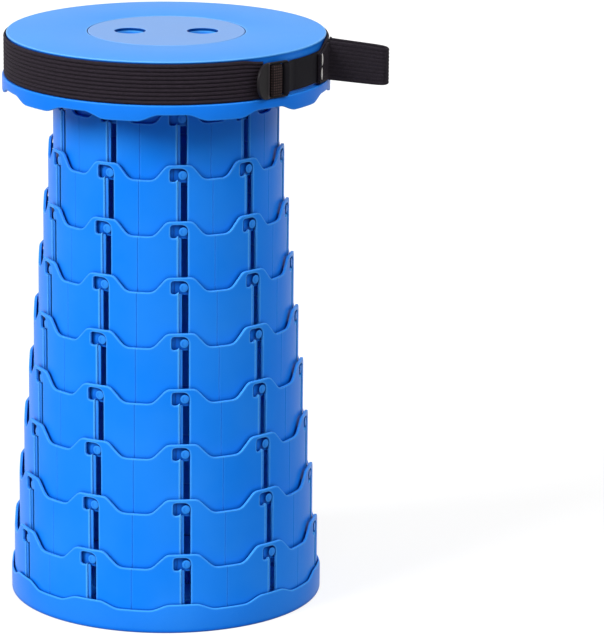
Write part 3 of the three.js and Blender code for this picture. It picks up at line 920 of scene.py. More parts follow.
def seat_section(share):
    """The seat's section: cap recess and ledge, collar, skirt with its shoulder, lip, groove and rim. The
    skirt's edge is lower by the share of the wave's height."""
    under = SEAT_TOP - SEAT_PLATE
    ledge_height = SEAT_TOP - CAP_THICKNESS - GAP
    collar = sleeve_radius(0) - SLEEVE_WALL - GAP
    edge = SEAT_TOP - SKIRT_DIP - share * SKIRT_WAVE
    lip_inner = SEAT_RADIUS - LIP_WALL
    corners = [
        (CAP_RECESS, ledge_height, 0.2),
        (CAP_OPENING, ledge_height, 0.4),
        (CAP_OPENING, ledge_height - CAP_LEDGE, 0.4),
        (CAP_RECESS + CAP_LEDGE_WALL, ledge_height - CAP_LEDGE, 0.4),
        (CAP_RECESS + CAP_LEDGE_WALL, under, 0.8),
        (collar - COLLAR_WALL, under, 0.8),
        (collar - COLLAR_WALL, under - COLLAR_HEIGHT, 0.5),
        (collar, under - COLLAR_HEIGHT, 0.5),
        (collar, under, 0.2),
        (SKIRT_INNER, under, 1.0),
        (SKIRT_INNER, LIP_TOP + SHOULDER, 0.8),
        (lip_inner, LIP_TOP - SHOULDER, 0.8),
        (lip_inner, edge, 0.6),
        (SEAT_RADIUS, edge, 1.0),
        (SEAT_RADIUS, LIP_TOP, 1.1),
        (GROOVE_RADIUS, LIP_TOP, 0.3),
        (GROOVE_RADIUS, SEAT_TOP - RIM_DEPTH, 0.2),
        (RIM_RADIUS, SEAT_TOP - RIM_DEPTH, 0.4),
        (RIM_RADIUS, SEAT_TOP, 1.2),
        (CAP_RECESS, SEAT_TOP, 0.5),
    ]
    return rounded(corners)


print("The seat's section has", len(seat_section(0)), "points")

# %% Make the seat
SEAT_AZIMUTH = math.radians(2.3)
RIM_FACE = 0.8
# The seat's top gets a paler blue than its skirt: a painted sheen. The skirt and the base have the deeper blue.
SEAT_SHEEN_BLUE = moulded_plastic("seat_painted_sheen_plastic", (0.010, 0.265, 0.82), (0.20, 0.52, 0.95), (0.0, 0.05, 0.36), 0.36)
BASE_BLUE = moulded_plastic("base_plastic", (0.002, 0.185, 0.86), (0.06, 0.38, 0.96), (0.0, 0.05, 0.40), 0.38)


def make_seat():
    """The wavy lathe. Its top has a paler blue, a painted sheen; its skirt and groove, outside and below the
    rim, have the base's deeper blue.
    """
    piece = mesh_object("seat_top_detail", wavy_lathe(seat_section, SEAT_AZIMUTH), SEAT_SHEEN_BLUE)
    centres, from_axis = face_centres(piece)
    outside = from_axis > GROOVE_RADIUS - 0.5
    finish_faces(piece, outside & (centres[:, 2] < SEAT_TOP - RIM_FACE), BASE_BLUE)
    place(piece, "seat", "seat_blue", "seat_top")


make_seat()

# %% [markdown]
# ## The caps
#
# A round disc with two finger holes is let into the seat, and another into the base. Each hole has a short
# collar behind it, and four snap hooks hold the disc on its ledge. The holes could be cut with a boolean,
# but a curve with two inner rings has them from the start, with their edges rounded like the rim.

# %% A cap
HOLE_RADIUS = 12
HOLE_OFFSET = 28
HOLE_WALL = 1.8
HOLE_DEPTH = 10
HOOKS = 4
HOOK_HALF_WIDTH = 4
HOOK_WALL = 1.6
HOOK_CATCH = 1.1
HOOK_HEAD = 1.8


def circle(radius, x=0.0, y=0.0, sides=64):
    """Points at equal angles: centre plus radius times (cos, sin)."""
    angle = np.arange(sides) * 2 * math.pi / sides
    return np.column_stack([x + radius * np.cos(angle), y + radius * np.sin(angle)])


def snap_hooks():
    """A hook's outline stands upright, radius against height: a stem, and a catch that reaches past the
    ledge."""
    outer = CAP_OPENING - GAP
    inner = outer - HOOK_WALL
    root = CAP_THICKNESS - 0.2
    reach = CAP_LEDGE + GAP + CAP_THICKNESS
    catch = [(outer, reach, 0), (outer + HOOK_CATCH, reach, 0.2), (outer, reach + HOOK_HEAD, 0.3)]
    outline = rounded([(inner, root, 0), (outer, root, 0), *catch, (inner, reach + HOOK_HEAD, 0.4)])
    vertices, faces = plate(outline, [], -HOOK_HALF_WIDTH, HOOK_HALF_WIDTH, 0.2)
    x, y, z = vertices.T
    return round_the_axis((np.column_stack([x, z, y]), faces), HOOKS, math.pi / 4)


def cap():
    """A disc with two finger holes, a collar round each hole, and the snap hooks. Its face is at height
    0."""
    centres = (-HOLE_OFFSET, HOLE_OFFSET)
    holes = [circle(HOLE_RADIUS, centre) for centre in centres]
    parts = [plate(circle(CAP_RADIUS, sides=192), holes, 0, CAP_THICKNESS, 0.7)]
    for centre, hole in zip(centres, holes):
        outer = circle(HOLE_RADIUS + HOLE_WALL, centre)
        parts.append(plate(outer, [hole], CAP_THICKNESS - 1, CAP_THICKNESS + HOLE_DEPTH, 0.4))
    return join([*parts, snap_hooks()])


print("A cap has", len(cap()[1]), "faces")

# %% Make the seat's cap
HOLE_LIP = 0.5
# The face of the seat's cap has a paler, lavender blue: a painted reflection.
CAP_REFLECTION_BLUE = moulded_plastic("cap_painted_reflection_plastic", (0.135, 0.315, 0.70), (0.20, 0.44, 0.90), (0.0, 0.05, 0.30), 0.33)
HOLE_BLUE = moulded_plastic("hole_plastic", (0.003, 0.218, 0.92), (0.09, 0.44, 0.98), (0.0, 0.10, 0.55), 0.38)
# A dark blue band in the cap's holes, just below its face: painted shade.
SEAM_SHADE_BLUE = moulded_plastic("seam_painted_shade_plastic", (0.0, 0.035, 0.22), (0.0, 0.06, 0.30), (0.0, 0.02, 0.15), 0.45)


def make_seat_cap():
    """The cap turned over, so that its face is on top: y and z change sign. Its face has a paler blue, a
    painted reflection. The walls of its holes are a deeper blue, without it, and darkest just below the face,
    where the disc meets the collar: painted shade."""
    vertices, faces = cap()
    part = (vertices * [1, -1, -1] + [0, 0, SEAT_TOP], faces)
    piece = mesh_object("seat_cap_detail", part, CAP_REFLECTION_BLUE, weighted=True)
    centres = face_centres(piece)[0]
    from_hole = np.hypot(np.abs(centres[:, 0]) - HOLE_OFFSET, centres[:, 1])
    in_hole = (from_hole < HOLE_RADIUS + HOLE_WALL) & (centres[:, 2] < SEAT_TOP - HOLE_LIP)
    in_seam_shade = in_hole & (centres[:, 2] > SEAT_TOP - CAP_THICKNESS + HOLE_LIP)
    finish_faces(piece, in_hole, HOLE_BLUE)
    finish_faces(piece, in_seam_shade, SEAM_SHADE_BLUE)
    place(piece, "seat", "seat_blue", "seat_cap")


make_seat_cap()

# %% [markdown]
# ## The base
#
# The base is a shallow tray that the outermost sleeve stands in. Its wall has a waved upper edge, and ribs
# on its floor carry the closed sleeves. It is made as the seat is, by a lathe of two sections, because the
# same wave runs round it.

# %% The base's section and ribs
BASE_RADIUS = 122.8
BASE_WALL = 1.6
BASE_CREST = 23
BASE_WAVE = 4.8
FLOOR_PLATE = 2.5
FLOOR_RIB = 2.5
FLOOR_RIB_WIDTH = 2.4


def base_section(share):
    """The tray's section: outer wall, floor, and the ledge round the cap. The wall's edge is lower by the
    share of the wave's height."""
    edge = BASE_CREST - share * BASE_WAVE
    ledge_height = CAP_THICKNESS + GAP
    inner = BASE_RADIUS - BASE_WALL
    corners = [
        (CAP_RECESS, 0, 0.5),
        (BASE_RADIUS, 0, 1.5),
        (BASE_RADIUS, edge, 0.7),
        (inner, edge, 0.6),
        (inner, FLOOR_PLATE, 0.8),
        (CAP_RECESS + CAP_LEDGE_WALL, FLOOR_PLATE, 0.6),
        (CAP_RECESS + CAP_LEDGE_WALL, ledge_height + CAP_LEDGE, 0.4),
        (CAP_OPENING, ledge_height + CAP_LEDGE, 0.4),
        (CAP_OPENING, ledge_height, 0.4),
        (CAP_RECESS, ledge_height, 0.2),
    ]
    return rounded(corners)


def floor_ribs():
    """Ten ribs on the tray's floor that the closed sleeves rest on."""
    inner = sleeve_radius(0) - SLEEVE_WALL - 2 * SLEEVE_STEP
    outer = sleeve_radius(SLIDES) - SLEEVE_WALL - SLEEVE_STEP / 2
    half = FLOOR_RIB_WIDTH / 2
    outline = rectangle(-half, -outer, half, -inner, (0.5, 0.5, 0.5, 0.5))
    rib = plate(outline, [], FLOOR_PLATE - 0.3, FLOOR_PLATE + FLOOR_RIB, 0.3)
    return round_the_axis(rib, SECTORS, BODY_AZIMUTH)


print("The base's section has", len(base_section(0)), "points")

# %% Make the base
def make_base():
    """The tray with its ribs, and its cap with its face down."""
    tray = join([wavy_lathe(base_section, BODY_AZIMUTH), floor_ribs()])
    place(mesh_object("base_tray_detail", tray, BASE_BLUE), "base", "sleeve_blue", "base_tray")
    base_cap = mesh_object("base_cap_detail", cap(), BASE_BLUE, weighted=True)
    place(base_cap, "base", "sleeve_blue", "base_cap")


make_base()

# %% [markdown]
# ## The cloth of the strap
#
# The strap is black elastic with ten ribs along it, and webbing that is woven coarse on one piece and
# smooth on the other. The threads could be a picture of cloth, but that would blur up close and repeat.
# They are two waves in the material, one along the strap and one across it, on coordinates in mm that the
# strap carries.

# %% A woven finish
GROOVE_SHADE_REACH = 0.0012
GROOVE_SHADE_RANGE = (0.3, 1.0, 0.45, 0.95)
FUZZ_NOISE = (900, 4)
FUZZ_RANGE = (0.5, 1.5, 0.25, 0.75)
CLOTH_ROUGHNESS = 0.8
CLOTH_GLOSS = 0.15
CLOTH_BUMP = 0.7


def cloth_wave(nodes, links, coordinate, period):
    """(1 + sin(2 pi coordinate / period)) / 2."""
    turns = arithmetic(nodes, links, "MULTIPLY", coordinate, 2 * math.pi / period)
    sine = arithmetic(nodes, links, "SINE", turns, 0)
    return mapped(nodes, links, sine, 0, 1, -1, 1)


def cloth(name, dark, thread, across_mm, along_mm, depth):
    """Two waves on the cloth's own coordinates in mm, one along it and one across it, multiplied: the height is
    highest where a warp and a weft thread cross. Colour and bump follow that height, which is made less between
    ribs, where little of the surroundings is open: painted shade in the grooves."""
    material, nodes, links, shader = node_tree(name)
    uv = nodes.new("ShaderNodeUVMap")
    uv.uv_map = "cloth"
    split = nodes.new("ShaderNodeSeparateXYZ")
    links.new(uv.outputs["UV"], split.inputs["Vector"])
    along = cloth_wave(nodes, links, split.outputs["X"], along_mm)
    across = cloth_wave(nodes, links, split.outputs["Y"], across_mm)
    height = arithmetic(nodes, links, "MULTIPLY", along, across)
    place_of = nodes.new("ShaderNodeTexCoord").outputs["Object"]
    fuzz = mapped(nodes, links, noise(nodes, links, *FUZZ_NOISE, place_of), *FUZZ_RANGE)
    # Painted shade: where less of the surroundings is open, between ribs, the cloth is darker.
    groove_unshaded = mapped(nodes, links, nearby_open(nodes, GROOVE_SHADE_REACH, False), *GROOVE_SHADE_RANGE)
    threads = arithmetic(nodes, links, "MULTIPLY", height, fuzz)
    lit = arithmetic(nodes, links, "MULTIPLY", threads, groove_unshaded)
    links.new(mixed(nodes, links, lit, dark, thread), shader.inputs["Base Color"])
    shader.inputs["Roughness"].default_value = CLOTH_ROUGHNESS
    shader.inputs["Specular IOR Level"].default_value = CLOTH_GLOSS
    add_bump(nodes, links, shader, lit, CLOTH_BUMP, depth)
    return material


ELASTIC = cloth("ribbed_elastic", (0.003, 0.002, 0.0035), (0.066, 0.046, 0.070), 0.9, 0.8, 0.0002)
# The loop is the same elastic in a darker copy: painted shade.
LOOP_SHADED_ELASTIC = cloth("loop_elastic_painted_shade", (0.003, 0.002, 0.0035), (0.044, 0.034, 0.050), 0.9, 0.8, 0.0002)
WEBBING = cloth("webbing", (0.003, 0.0025, 0.004), (0.010, 0.009, 0.015), 0.8, 0.8, 0.0001)
TAIL_WEBBING = cloth("coarse_webbing", (0.005, 0.003, 0.0035), (0.075, 0.046, 0.044), 2.0, 1.7, 0.0004)
THREAD = cloth("white_thread", (0.60, 0.58, 0.56), (0.90, 0.88, 0.86), 0.4, 0.4, 0.0001)
print(ELASTIC.name, "has", len(ELASTIC.node_tree.nodes), "nodes")

# %% [markdown]
# ## Straps along a path
#
# Each strap is one section carried along a path. A curve object with a bevel profile could do it, but it
# turns the section where the path bends sharply, and it can't narrow the strap from one side alone. Here
# the section stays upright, and its upper and lower halves can be drawn in separately, as the seam's
# stitches draw them in.

# %% A ribbed section
RIB_POINTS = 8
RIB_SHARPNESS = 0.7
INNER_RIB_SHARE = 0.4
EDGE_ROUNDING = 0.6
EDGE_SHARE = 0.35


def ribbed_section(thickness, width, ribs, depth):
    """A strap's section, (outwards, up). Its outer and inner faces are rows of half waves: the outer face
    lies depth times (1 - |sin|^0.7) below the strap's full thickness, and the inner face 0.4 times as much.
    Towards both edges the thickness falls to about a third, as a square root."""
    up = np.linspace(-width / 2, width / 2, ribs * RIB_POINTS + 1)
    phase = (up + width / 2) / width * ribs * math.pi
    dip = depth * (1 - np.abs(np.sin(phase)) ** RIB_SHARPNESS)
    edge = np.clip((width / 2 - np.abs(up)) / EDGE_ROUNDING, 0, 1)
    half = thickness / 2 * (EDGE_SHARE + (1 - EDGE_SHARE) * np.sqrt(edge))
    outer = np.column_stack([half - dip * edge, up])
    inner = np.column_stack([-half + INNER_RIB_SHARE * dip * edge, up])
    return np.vstack([outer, inner[::-1]])


print("A section with ten ribs has", len(ribbed_section(2, 30, 10, 1)), "points")

# %% Carry a section along a path
def path_normals(path):
    """Horizontal normals of a path that lies near level, on the right of its direction."""
    direction = np.gradient(path, axis=0)
    normals = np.column_stack([direction[:, 1], -direction[:, 0], np.zeros(len(path))])
    return normals / np.linalg.norm(normals, axis=1, keepdims=True)


def lengths(points):
    """The distance of each point along the line through all of them, from 0."""
    return np.concatenate([[0], np.cumsum(np.linalg.norm(np.diff(points, axis=0), axis=1))])


def sweep(path, normals, section):
    """A closed section (outwards, up) carried along an open path and closed by a face at each end. Returns
    vertices, faces and, for every face corner, its distance along the path and round the section."""
    rows, columns = len(path), len(section)
    up = np.array([0, 0, 1])
    vertices = path[:, None] + section[None, :, :1] * normals[:, None] + section[None, :, 1:] * up
    faces = grid_quads(rows, rows - 1, columns)
    along = lengths(path)
    across = lengths(np.vstack([section, section[:1]]))
    i, j = np.meshgrid(np.arange(rows - 1), np.arange(columns), indexing="ij")
    u = np.stack([along[i], along[i + 1], along[i + 1], along[i]], axis=-1)
    v = np.stack([across[j], across[j], across[j + 1], across[j + 1]], axis=-1)
    faces.append(list(range(columns)))
    faces.append([(rows - 1) * columns + index for index in range(columns)][::-1])
    uvs = np.vstack([np.stack([u, v], axis=-1).reshape(-1, 2), section, section[::-1]])
    return vertices.reshape(-1, 3), faces, uvs


def strap(node, path, section, material, slot, above=1.0, below=1.0):
    """A strap swept along the path, in the place of the node. above and below are shares of the section's
    half width, at each point, over and under its middle."""
    vertices, faces, uvs = sweep(path, path_normals(path), section)
    rings = vertices.reshape(len(path), len(section), 3)
    middle = path[:, None, 2]
    rise = rings[:, :, 2] - middle
    shares = np.stack([np.broadcast_to(share, len(path)) for share in (above, below)])[:, :, None]
    rings[:, :, 2] = middle + rise * np.where(rise > 0, shares[0], shares[1])
    piece = mesh_object(f"{node}_detail", (rings.reshape(-1, 3), faces), material, uvs, sharp_degrees=60)
    place(piece, "seat", slot, node)
    print(node, "is", round(lengths(path)[-1]), "mm long")


print("A path from 0 to 3 and 4 mm is", lengths(np.array([[0, 0], [3, 4]]))[-1], "mm long")

# %% [markdown]
# ### The elastic band
#
# The band lies in the seat's groove. It starts at the seam on the right, runs round the back and ends at
# the buckle. The seam's stitches gather it, mostly from above, and its end goes under the buckle's tab. A
# circle of constant section would miss both, so the two shares of the strap follow the azimuth.

# %% Make the band
BAND_THICKNESS = 2
BAND_WIDTH = 30.7
BAND_RIBS = 10
BAND_RIB_DEPTH = 1.0
BAND_RADIUS = GROOVE_RADIUS + 1.7
BAND_MIDDLE = LIP_TOP + GAP + BAND_WIDTH / 2
BAND_STATIONS = 500
BAND_END = math.radians(31)
BAND_TUCK = math.radians(4.4)
TUCK_ABOVE = 0.14
TUCK_BELOW = 0.05
STRAP_SEAM = math.radians(66.5)
SEAM_CLEARANCE = math.radians(0.5)
GATHER_REACH = math.radians(14)
GATHER_ABOVE = 0.42
GATHER_BELOW = 0.08


def gathered(azimuths, seam, reach):
    """How much the seam's stitches draw a strap in: 1 at the seam, eased to 0 at the reach from it."""
    t = np.clip(np.abs(azimuths - seam) / reach, 0, 1)
    return 1 - (3 * t**2 - 2 * t**3)


def make_band():
    """From the seam, round the back, to the buckle."""
    azimuths = np.linspace(STRAP_SEAM + SEAM_CLEARANCE, BAND_END + BAND_TUCK + 2 * math.pi, BAND_STATIONS)
    path = on_cylinder(BAND_RADIUS, azimuths, BAND_MIDDLE)
    section = ribbed_section(BAND_THICKNESS, BAND_WIDTH, BAND_RIBS, BAND_RIB_DEPTH)
    drawn = gathered(azimuths, STRAP_SEAM, GATHER_REACH)
    tucked = gathered(azimuths, azimuths[-1], 2 * BAND_TUCK)
    above = 1 - GATHER_ABOVE * drawn - TUCK_ABOVE * tucked
    below = 1 - GATHER_BELOW * drawn - TUCK_BELOW * tucked
    strap("strap_band", path, section, ELASTIC, "elastic_black", above, below)


make_band()

# %% [markdown]
# ### The carry loop
#
# A loop of the same elastic stands out at the right. It is nearly flat, with a fold at its end, and its two
# feet are sewn to the band. It could be a bent torus, but its width changes along it: the half outline is a
# short list of shares instead, and a smooth curve runs through both sides of it and the feet.

# %% A smooth curve through points
def smooth_path(points, count):
    """A Catmull-Rom curve through the points: between b and c it is half of 2b + (c-a)t + (2a-5b+4c-d)t^2 +
    (3b-a-3c+d)t^3."""
    points = np.asarray(points, float)
    padded = np.vstack([2 * points[0] - points[1], points, 2 * points[-1] - points[-2]])
    result = []
    for i in range(len(points) - 1):
        a, b, c, d = padded[i : i + 4]
        t = np.linspace(0, 1, count, endpoint=False)[:, None]
        cubic = (2 * a - 5 * b + 4 * c - d) * t**2 + (3 * b - a - 3 * c + d) * t**3
        result.append((2 * b + (c - a) * t + cubic) / 2)
    return np.vstack([*result, points[-1:]])


print("Two points and eight steps give", len(smooth_path([[0, 0, 0], [1, 0, 0]], 8)), "points")

# %% The loop's path
PATH_STEPS = 8
LOOP_AZIMUTH = math.radians(79.5)
LOOP_REACH = 48
LOOP_END = BAND_RADIUS + LOOP_REACH
LOOP_HALF_WIDTH = 5.5
LOOP_FOOT = 9
LOOP_BEND = math.radians(1.4)
LOOP_HALF_SHARES = (
    (0.02, 1.12), (0.07, 1.0), (0.3, 0.96), (0.6, 0.95), (0.87, 0.98), (0.95, 0.84), (0.985, 0.5)
)
FOOT_RADIUS = BAND_RADIUS + BAND_THICKNESS + GAP
FOOT_ANGLE = math.asin(LOOP_HALF_WIDTH / FOOT_RADIUS)
LOOP_ROOT = FOOT_RADIUS * math.cos(FOOT_ANGLE)
QUARTER = math.pi / 2


def loop_side(sign):
    """One side of the loop: x from the root to the end, y the half width, each by its share."""
    return [
        [LOOP_ROOT + out * (LOOP_END - LOOP_ROOT), sign * half * LOOP_HALF_WIDTH, 0.0]
        for out, half in LOOP_HALF_SHARES
    ]


def loop_path():
    """Drawn with its reach along x: the front foot from the seam, out, round the fold, back and the rear
    foot."""
    front = np.linspace(QUARTER - LOOP_AZIMUTH + STRAP_SEAM, QUARTER - FOOT_ANGLE - LOOP_BEND, 9)
    rear = np.linspace(QUARTER + FOOT_ANGLE + LOOP_BEND, QUARTER + FOOT_ANGLE + LOOP_FOOT / FOOT_RADIUS, 5)
    points = [
        on_cylinder(FOOT_RADIUS, front, 0.0),
        loop_side(-1),
        [[LOOP_END, 0.0, 0.0]],
        loop_side(1)[::-1],
        on_cylinder(FOOT_RADIUS, rear, 0.0),
    ]
    return smooth_path(np.vstack(points), PATH_STEPS)


print("The loop's path has", len(loop_path()), "points")

# %% Make the loop
LOOP_DROOP = 4
LOOP_RIB_DEPTH = 0.32
LOOP_TAPER = 0.04
FOLD_TAPER = 0.05
REAR_STITCHES = 0.06


def make_handle_loop():
    """The path is turned to its azimuth and droops in proportion to its reach. It is drawn in a little
    along its reach and by its fold, at the front by the seam and at the rear by its stitches."""
    path = loop_path()
    reach = np.clip((path[:, 0] - LOOP_ROOT) / (LOOP_END - LOOP_ROOT), 0, 1)
    narrowed = 1 - LOOP_TAPER * reach - FOLD_TAPER * reach**8
    path[:, 2] = BAND_MIDDLE - LOOP_DROOP * reach
    path = turned((path, []), LOOP_AZIMUTH - QUARTER)[0]
    azimuths = np.arctan2(path[:, 0], -path[:, 1])
    drawn = np.where(reach > 0.02, 0.0, gathered(azimuths, STRAP_SEAM, GATHER_REACH))
    rear = np.where(np.arange(len(path)) > len(path) - 5 * PATH_STEPS, REAR_STITCHES, 0.0)
    section = ribbed_section(BAND_THICKNESS, BAND_WIDTH, BAND_RIBS, LOOP_RIB_DEPTH)
    above = narrowed * (1 - GATHER_ABOVE * drawn - rear)
    below = narrowed * (1 - GATHER_BELOW * drawn)
    strap("handle_loop", path, section, LOOP_SHADED_ELASTIC, "elastic_black", above, below)


make_handle_loop()

# %% [markdown]
# ## The buckle
#
# The buckle is a small black moulding: a frame with two slots for the webbing, and a round-ended tab at its
# left that stands off the strap so that a thumb can lift it. It could be boxes joined by hand, but both
# parts are flat plates like a panel, so they are drawn as outlines, laid at the rim and turned to their
# azimuth.

# %% Sizes of the buckle
WEBBING_THICKNESS = 1.4
WEBBING_WIDTH = 23.6
BUCKLE_AZIMUTH = math.radians(38.6)
BUCKLE_HALF = 27.6 / 2
BUCKLE_MIDDLE = BAND_MIDDLE - 1.55
BUCKLE_THICKNESS = 2.4
BUCKLE_BACK = BAND_RADIUS + BAND_THICKNESS / 2 + GAP
BUCKLE_FRONT = BUCKLE_BACK + BUCKLE_THICKNESS
BAR_RIGHT = 7
END_BAR_LEFT = 12.4
END_BAR_RIGHT = 15
TAB_ROOT = -3.4
TAB_BAR = 1.4
TAB_LENGTH = 15
TAB_ROUND = 11.5
TAB_LIFT = math.radians(18)
print("The buckle is", round(END_BAR_RIGHT - TAB_ROOT + TAB_LENGTH, 1), "mm long with its tab")

# %% The frame and the tab
def at_buckle(part):
    """A plate drawn at the front, x along the rim, y up, z the distance from the axis, turned to the
    buckle."""
    vertices, faces = part
    x, y, z = vertices.T
    return turned((np.column_stack([x, -z, y + BUCKLE_MIDDLE]), faces), BUCKLE_AZIMUTH)


def buckle_frame():
    """A plate with a slot on each side of the wide bar."""
    left = TAB_ROOT - TAB_BAR
    outline = rectangle(left, -BUCKLE_HALF, END_BAR_RIGHT, BUCKLE_HALF, (0.5, 1.2, 1.2, 0.5))
    inner = WEBBING_WIDTH / 2 + GAP
    slots = ((TAB_ROOT, 0), (BAR_RIGHT, END_BAR_LEFT))
    holes = [rectangle(low, -inner, high, inner, (0.6, 0.6, 0.6, 0.6), 3) for low, high in slots]
    return plate(outline, holes, BUCKLE_BACK, BUCKLE_FRONT, 0.45)


def buckle_tab_plate():
    """A plate that ends in a half ellipse, turned about its root by the lift: x' = x cos + z sin, z' = z
    cos - x sin."""
    angle = np.linspace(-math.pi / 2, math.pi / 2, 25)
    straight = TAB_LENGTH - TAB_ROUND
    end = np.column_stack([-straight - TAB_ROUND * np.cos(angle), BUCKLE_HALF * np.sin(-angle)])
    outline = np.vstack([[[0, -BUCKLE_HALF], [0, BUCKLE_HALF]], end])
    vertices, faces = plate(outline, [], -BUCKLE_THICKNESS / 2, BUCKLE_THICKNESS / 2, 0.6)
    x, y, z = vertices.T
    lifted_x = x * math.cos(TAB_LIFT) + z * math.sin(TAB_LIFT) + TAB_ROOT
    lifted_z = z * math.cos(TAB_LIFT) - x * math.sin(TAB_LIFT) + BUCKLE_BACK + BUCKLE_THICKNESS / 2
    return np.column_stack([lifted_x, y, lifted_z]), faces


print("The buckle's frame has", len(buckle_frame()[1]), "faces and its tab", len(buckle_tab_plate()[1]))

# %% Make the buckle
# The buckle's paler second colour along its edges is a painted highlight.
BUCKLE_BLACK = moulded_plastic(
    "buckle_plastic", (0.005, 0.004, 0.005), (0.07, 0.062, 0.07), (0.002, 0.002, 0.002), 0.42, FINE_EDGE_HIGHLIGHT_REACH
)
buckle = join([at_buckle(buckle_frame()), at_buckle(buckle_tab_plate())])
buckle_piece = mesh_object("strap_buckle_detail", buckle, BUCKLE_BLACK, weighted=True)
place(buckle_piece, "seat", "buckle_black", "strap_buckle")

# %% [markdown]
# ## The webbing
#
# A short coarse tail comes up through the buckle, goes over its wide bar and turns back under it. A smooth
# strip hooks over the end bar and runs along the rim to the seam. They could be bent by a cloth simulation,
# but the bars decide their course, so a few points round each bar and a smooth curve are enough.

# %% Make the webbing
BAR_EASE = 0.3
BAR_TURN = WEBBING_THICKNESS / 2 + GAP
OVER_BAR = BUCKLE_FRONT + GAP + WEBBING_THICKNESS / 2
ON_RIM = GROOVE_RADIUS + 0.5 + WEBBING_THICKNESS / 2


def buckle_path(points):
    """Points (x along the rim, distance from the axis) at the buckle, as places on the stool."""
    flat = np.array([[x, -distance, BUCKLE_MIDDLE] for x, distance in points])
    return turned((flat, []), BUCKLE_AZIMUTH)[0]


def make_webbing(node, material, *points):
    """A flat strap of the webbing's width along a smooth curve through the points."""
    section = ribbed_section(WEBBING_THICKNESS, WEBBING_WIDTH, 1, 0)
    strap(node, smooth_path(np.vstack(points), PATH_STEPS), section, material, "webbing_black")


tail_start = [on_cylinder(ON_RIM, BAND_END + math.radians(share), BUCKLE_MIDDLE) for share in (0.5, 2.5, 4)]
tail_through = [
    (-BAR_TURN - 1, ON_RIM + 0.8),
    (-BAR_TURN, BUCKLE_BACK + 0.4),
    (-BAR_TURN, BUCKLE_FRONT - BAR_EASE),
    (BAR_EASE, OVER_BAR),
    (BAR_RIGHT - BAR_EASE, OVER_BAR),
    (BAR_RIGHT + BAR_TURN, BUCKLE_FRONT - BAR_EASE),
    (BAR_RIGHT + BAR_TURN, BUCKLE_BACK + 0.4),
    (BAR_RIGHT - 0.4, ON_RIM + 0.1),
    (BAR_RIGHT / 2, ON_RIM),
]
make_webbing("webbing_tail", TAIL_WEBBING, tail_start, buckle_path(tail_through))

hook = [
    (END_BAR_LEFT - BAR_TURN, BUCKLE_BACK - 0.6),
    (END_BAR_LEFT - BAR_TURN, BUCKLE_FRONT - BAR_EASE),
    (END_BAR_LEFT + BAR_EASE, OVER_BAR),
    (END_BAR_RIGHT - BAR_EASE, OVER_BAR),
    (END_BAR_RIGHT + BAR_TURN, BUCKLE_FRONT - BAR_EASE),
    (END_BAR_RIGHT + BAR_TURN + 1.5, BUCKLE_BACK - 0.6),
]
along_rim = on_cylinder(ON_RIM, np.radians(np.linspace(50, 72.3, 12)), BUCKLE_MIDDLE)
make_webbing("buckle_tab", WEBBING, buckle_path(hook), along_rim)

# %% [markdown]
# ## The seam's stitches
#
# Two long white stitches hold the loop's foot, one above the other. Each is a bundle of thread that is
# thickest in its middle and bows a little sideways. A stretched sphere would come close but wouldn't bow,
# so it is a grid of rings whose radius and place follow the distance along the stitch.

# %% Make the stitches
STITCH_AZIMUTH = math.radians(67.8)
STITCH_RADIUS_ON_SEAT = BAND_RADIUS + BAND_THICKNESS * 1.5 + GAP + 0.35
STITCH_MIDDLE = BAND_MIDDLE - 1.3
STITCH_LENGTH = 9.6
STITCH_GAP = 1.4
STITCH_RADIUS = 0.95
STITCH_FLATNESS = 0.6
STITCH_BOW = 0.5
STITCH_RINGS = 25
STITCH_SIDES = 12


def stitch(side):
    """Rings along s from -1 to 1, of the radius times sqrt(1 - s^2). The stitch bows sideways by the bow
    times (1 - s^2). It lies above the middle for side 1 and below it for side -1."""
    along = np.linspace(-0.995, 0.995, STITCH_RINGS)
    swell = np.sqrt(1 - along**2)
    ring = full_turn(STITCH_SIDES)
    middle = side * (STITCH_LENGTH / 2 + STITCH_GAP / 2)
    across = STITCH_RADIUS * swell[:, None] * np.cos(ring) + side * STITCH_BOW * (swell[:, None] ** 2)
    outwards = STITCH_FLATNESS * STITCH_RADIUS * swell[:, None] * np.sin(ring)
    height = np.broadcast_to(STITCH_MIDDLE + middle + along[:, None] * STITCH_LENGTH / 2, across.shape)
    vertices = np.stack([across, height, outwards], axis=-1).reshape(-1, 3)
    faces = grid_quads(STITCH_RINGS, STITCH_RINGS - 1, STITCH_SIDES)
    faces.append(list(range(STITCH_SIDES))[::-1])
    faces.append([(STITCH_RINGS - 1) * STITCH_SIDES + index for index in range(STITCH_SIDES)])
    return bent((vertices, faces), STITCH_RADIUS_ON_SEAT)


stitches = turned(join([stitch(1), stitch(-1)]), STITCH_AZIMUTH)
one_place = np.zeros((sum(len(face) for face in stitches[1]), 2))
place(mesh_object("bar_tack", stitches, THREAD, one_place), "seat", "webbing_black")

# %% [markdown]
# ## The floor
#
# The photograph has a white background with a faint shadow. A white floor under strong light would look as
# white, but it would throw that light back on the stool. So the floor is grey for the light that it
# carries, and glows only for rays from the camera, from a glossy surface or through glass. The stool's
# shadow stays.

# %% Rays that see, and rays that carry light
def seen_or_mirrored(nodes, links):
    """The sum of three flags of a ray: 1 from the camera, from a glossy surface or through a clear one, 0
    for a ray that carries light."""
    path = nodes.new("ShaderNodeLightPath")
    seen = arithmetic(nodes, links, "ADD", path.outputs["Is Camera Ray"], path.outputs["Is Glossy Ray"])
    return arithmetic(nodes, links, "ADD", seen, path.outputs["Is Transmission Ray"])


print("A ray that sees counts as 1, and one that carries light as 0")

# %% Make the floor
FLOOR_HALF = 30
FLOOR_GREY = 0.3
FLOOR_ROUGHNESS = 0.9
FLOOR_GLOSS = 0.1
FLOOR_GLOW = 0.76


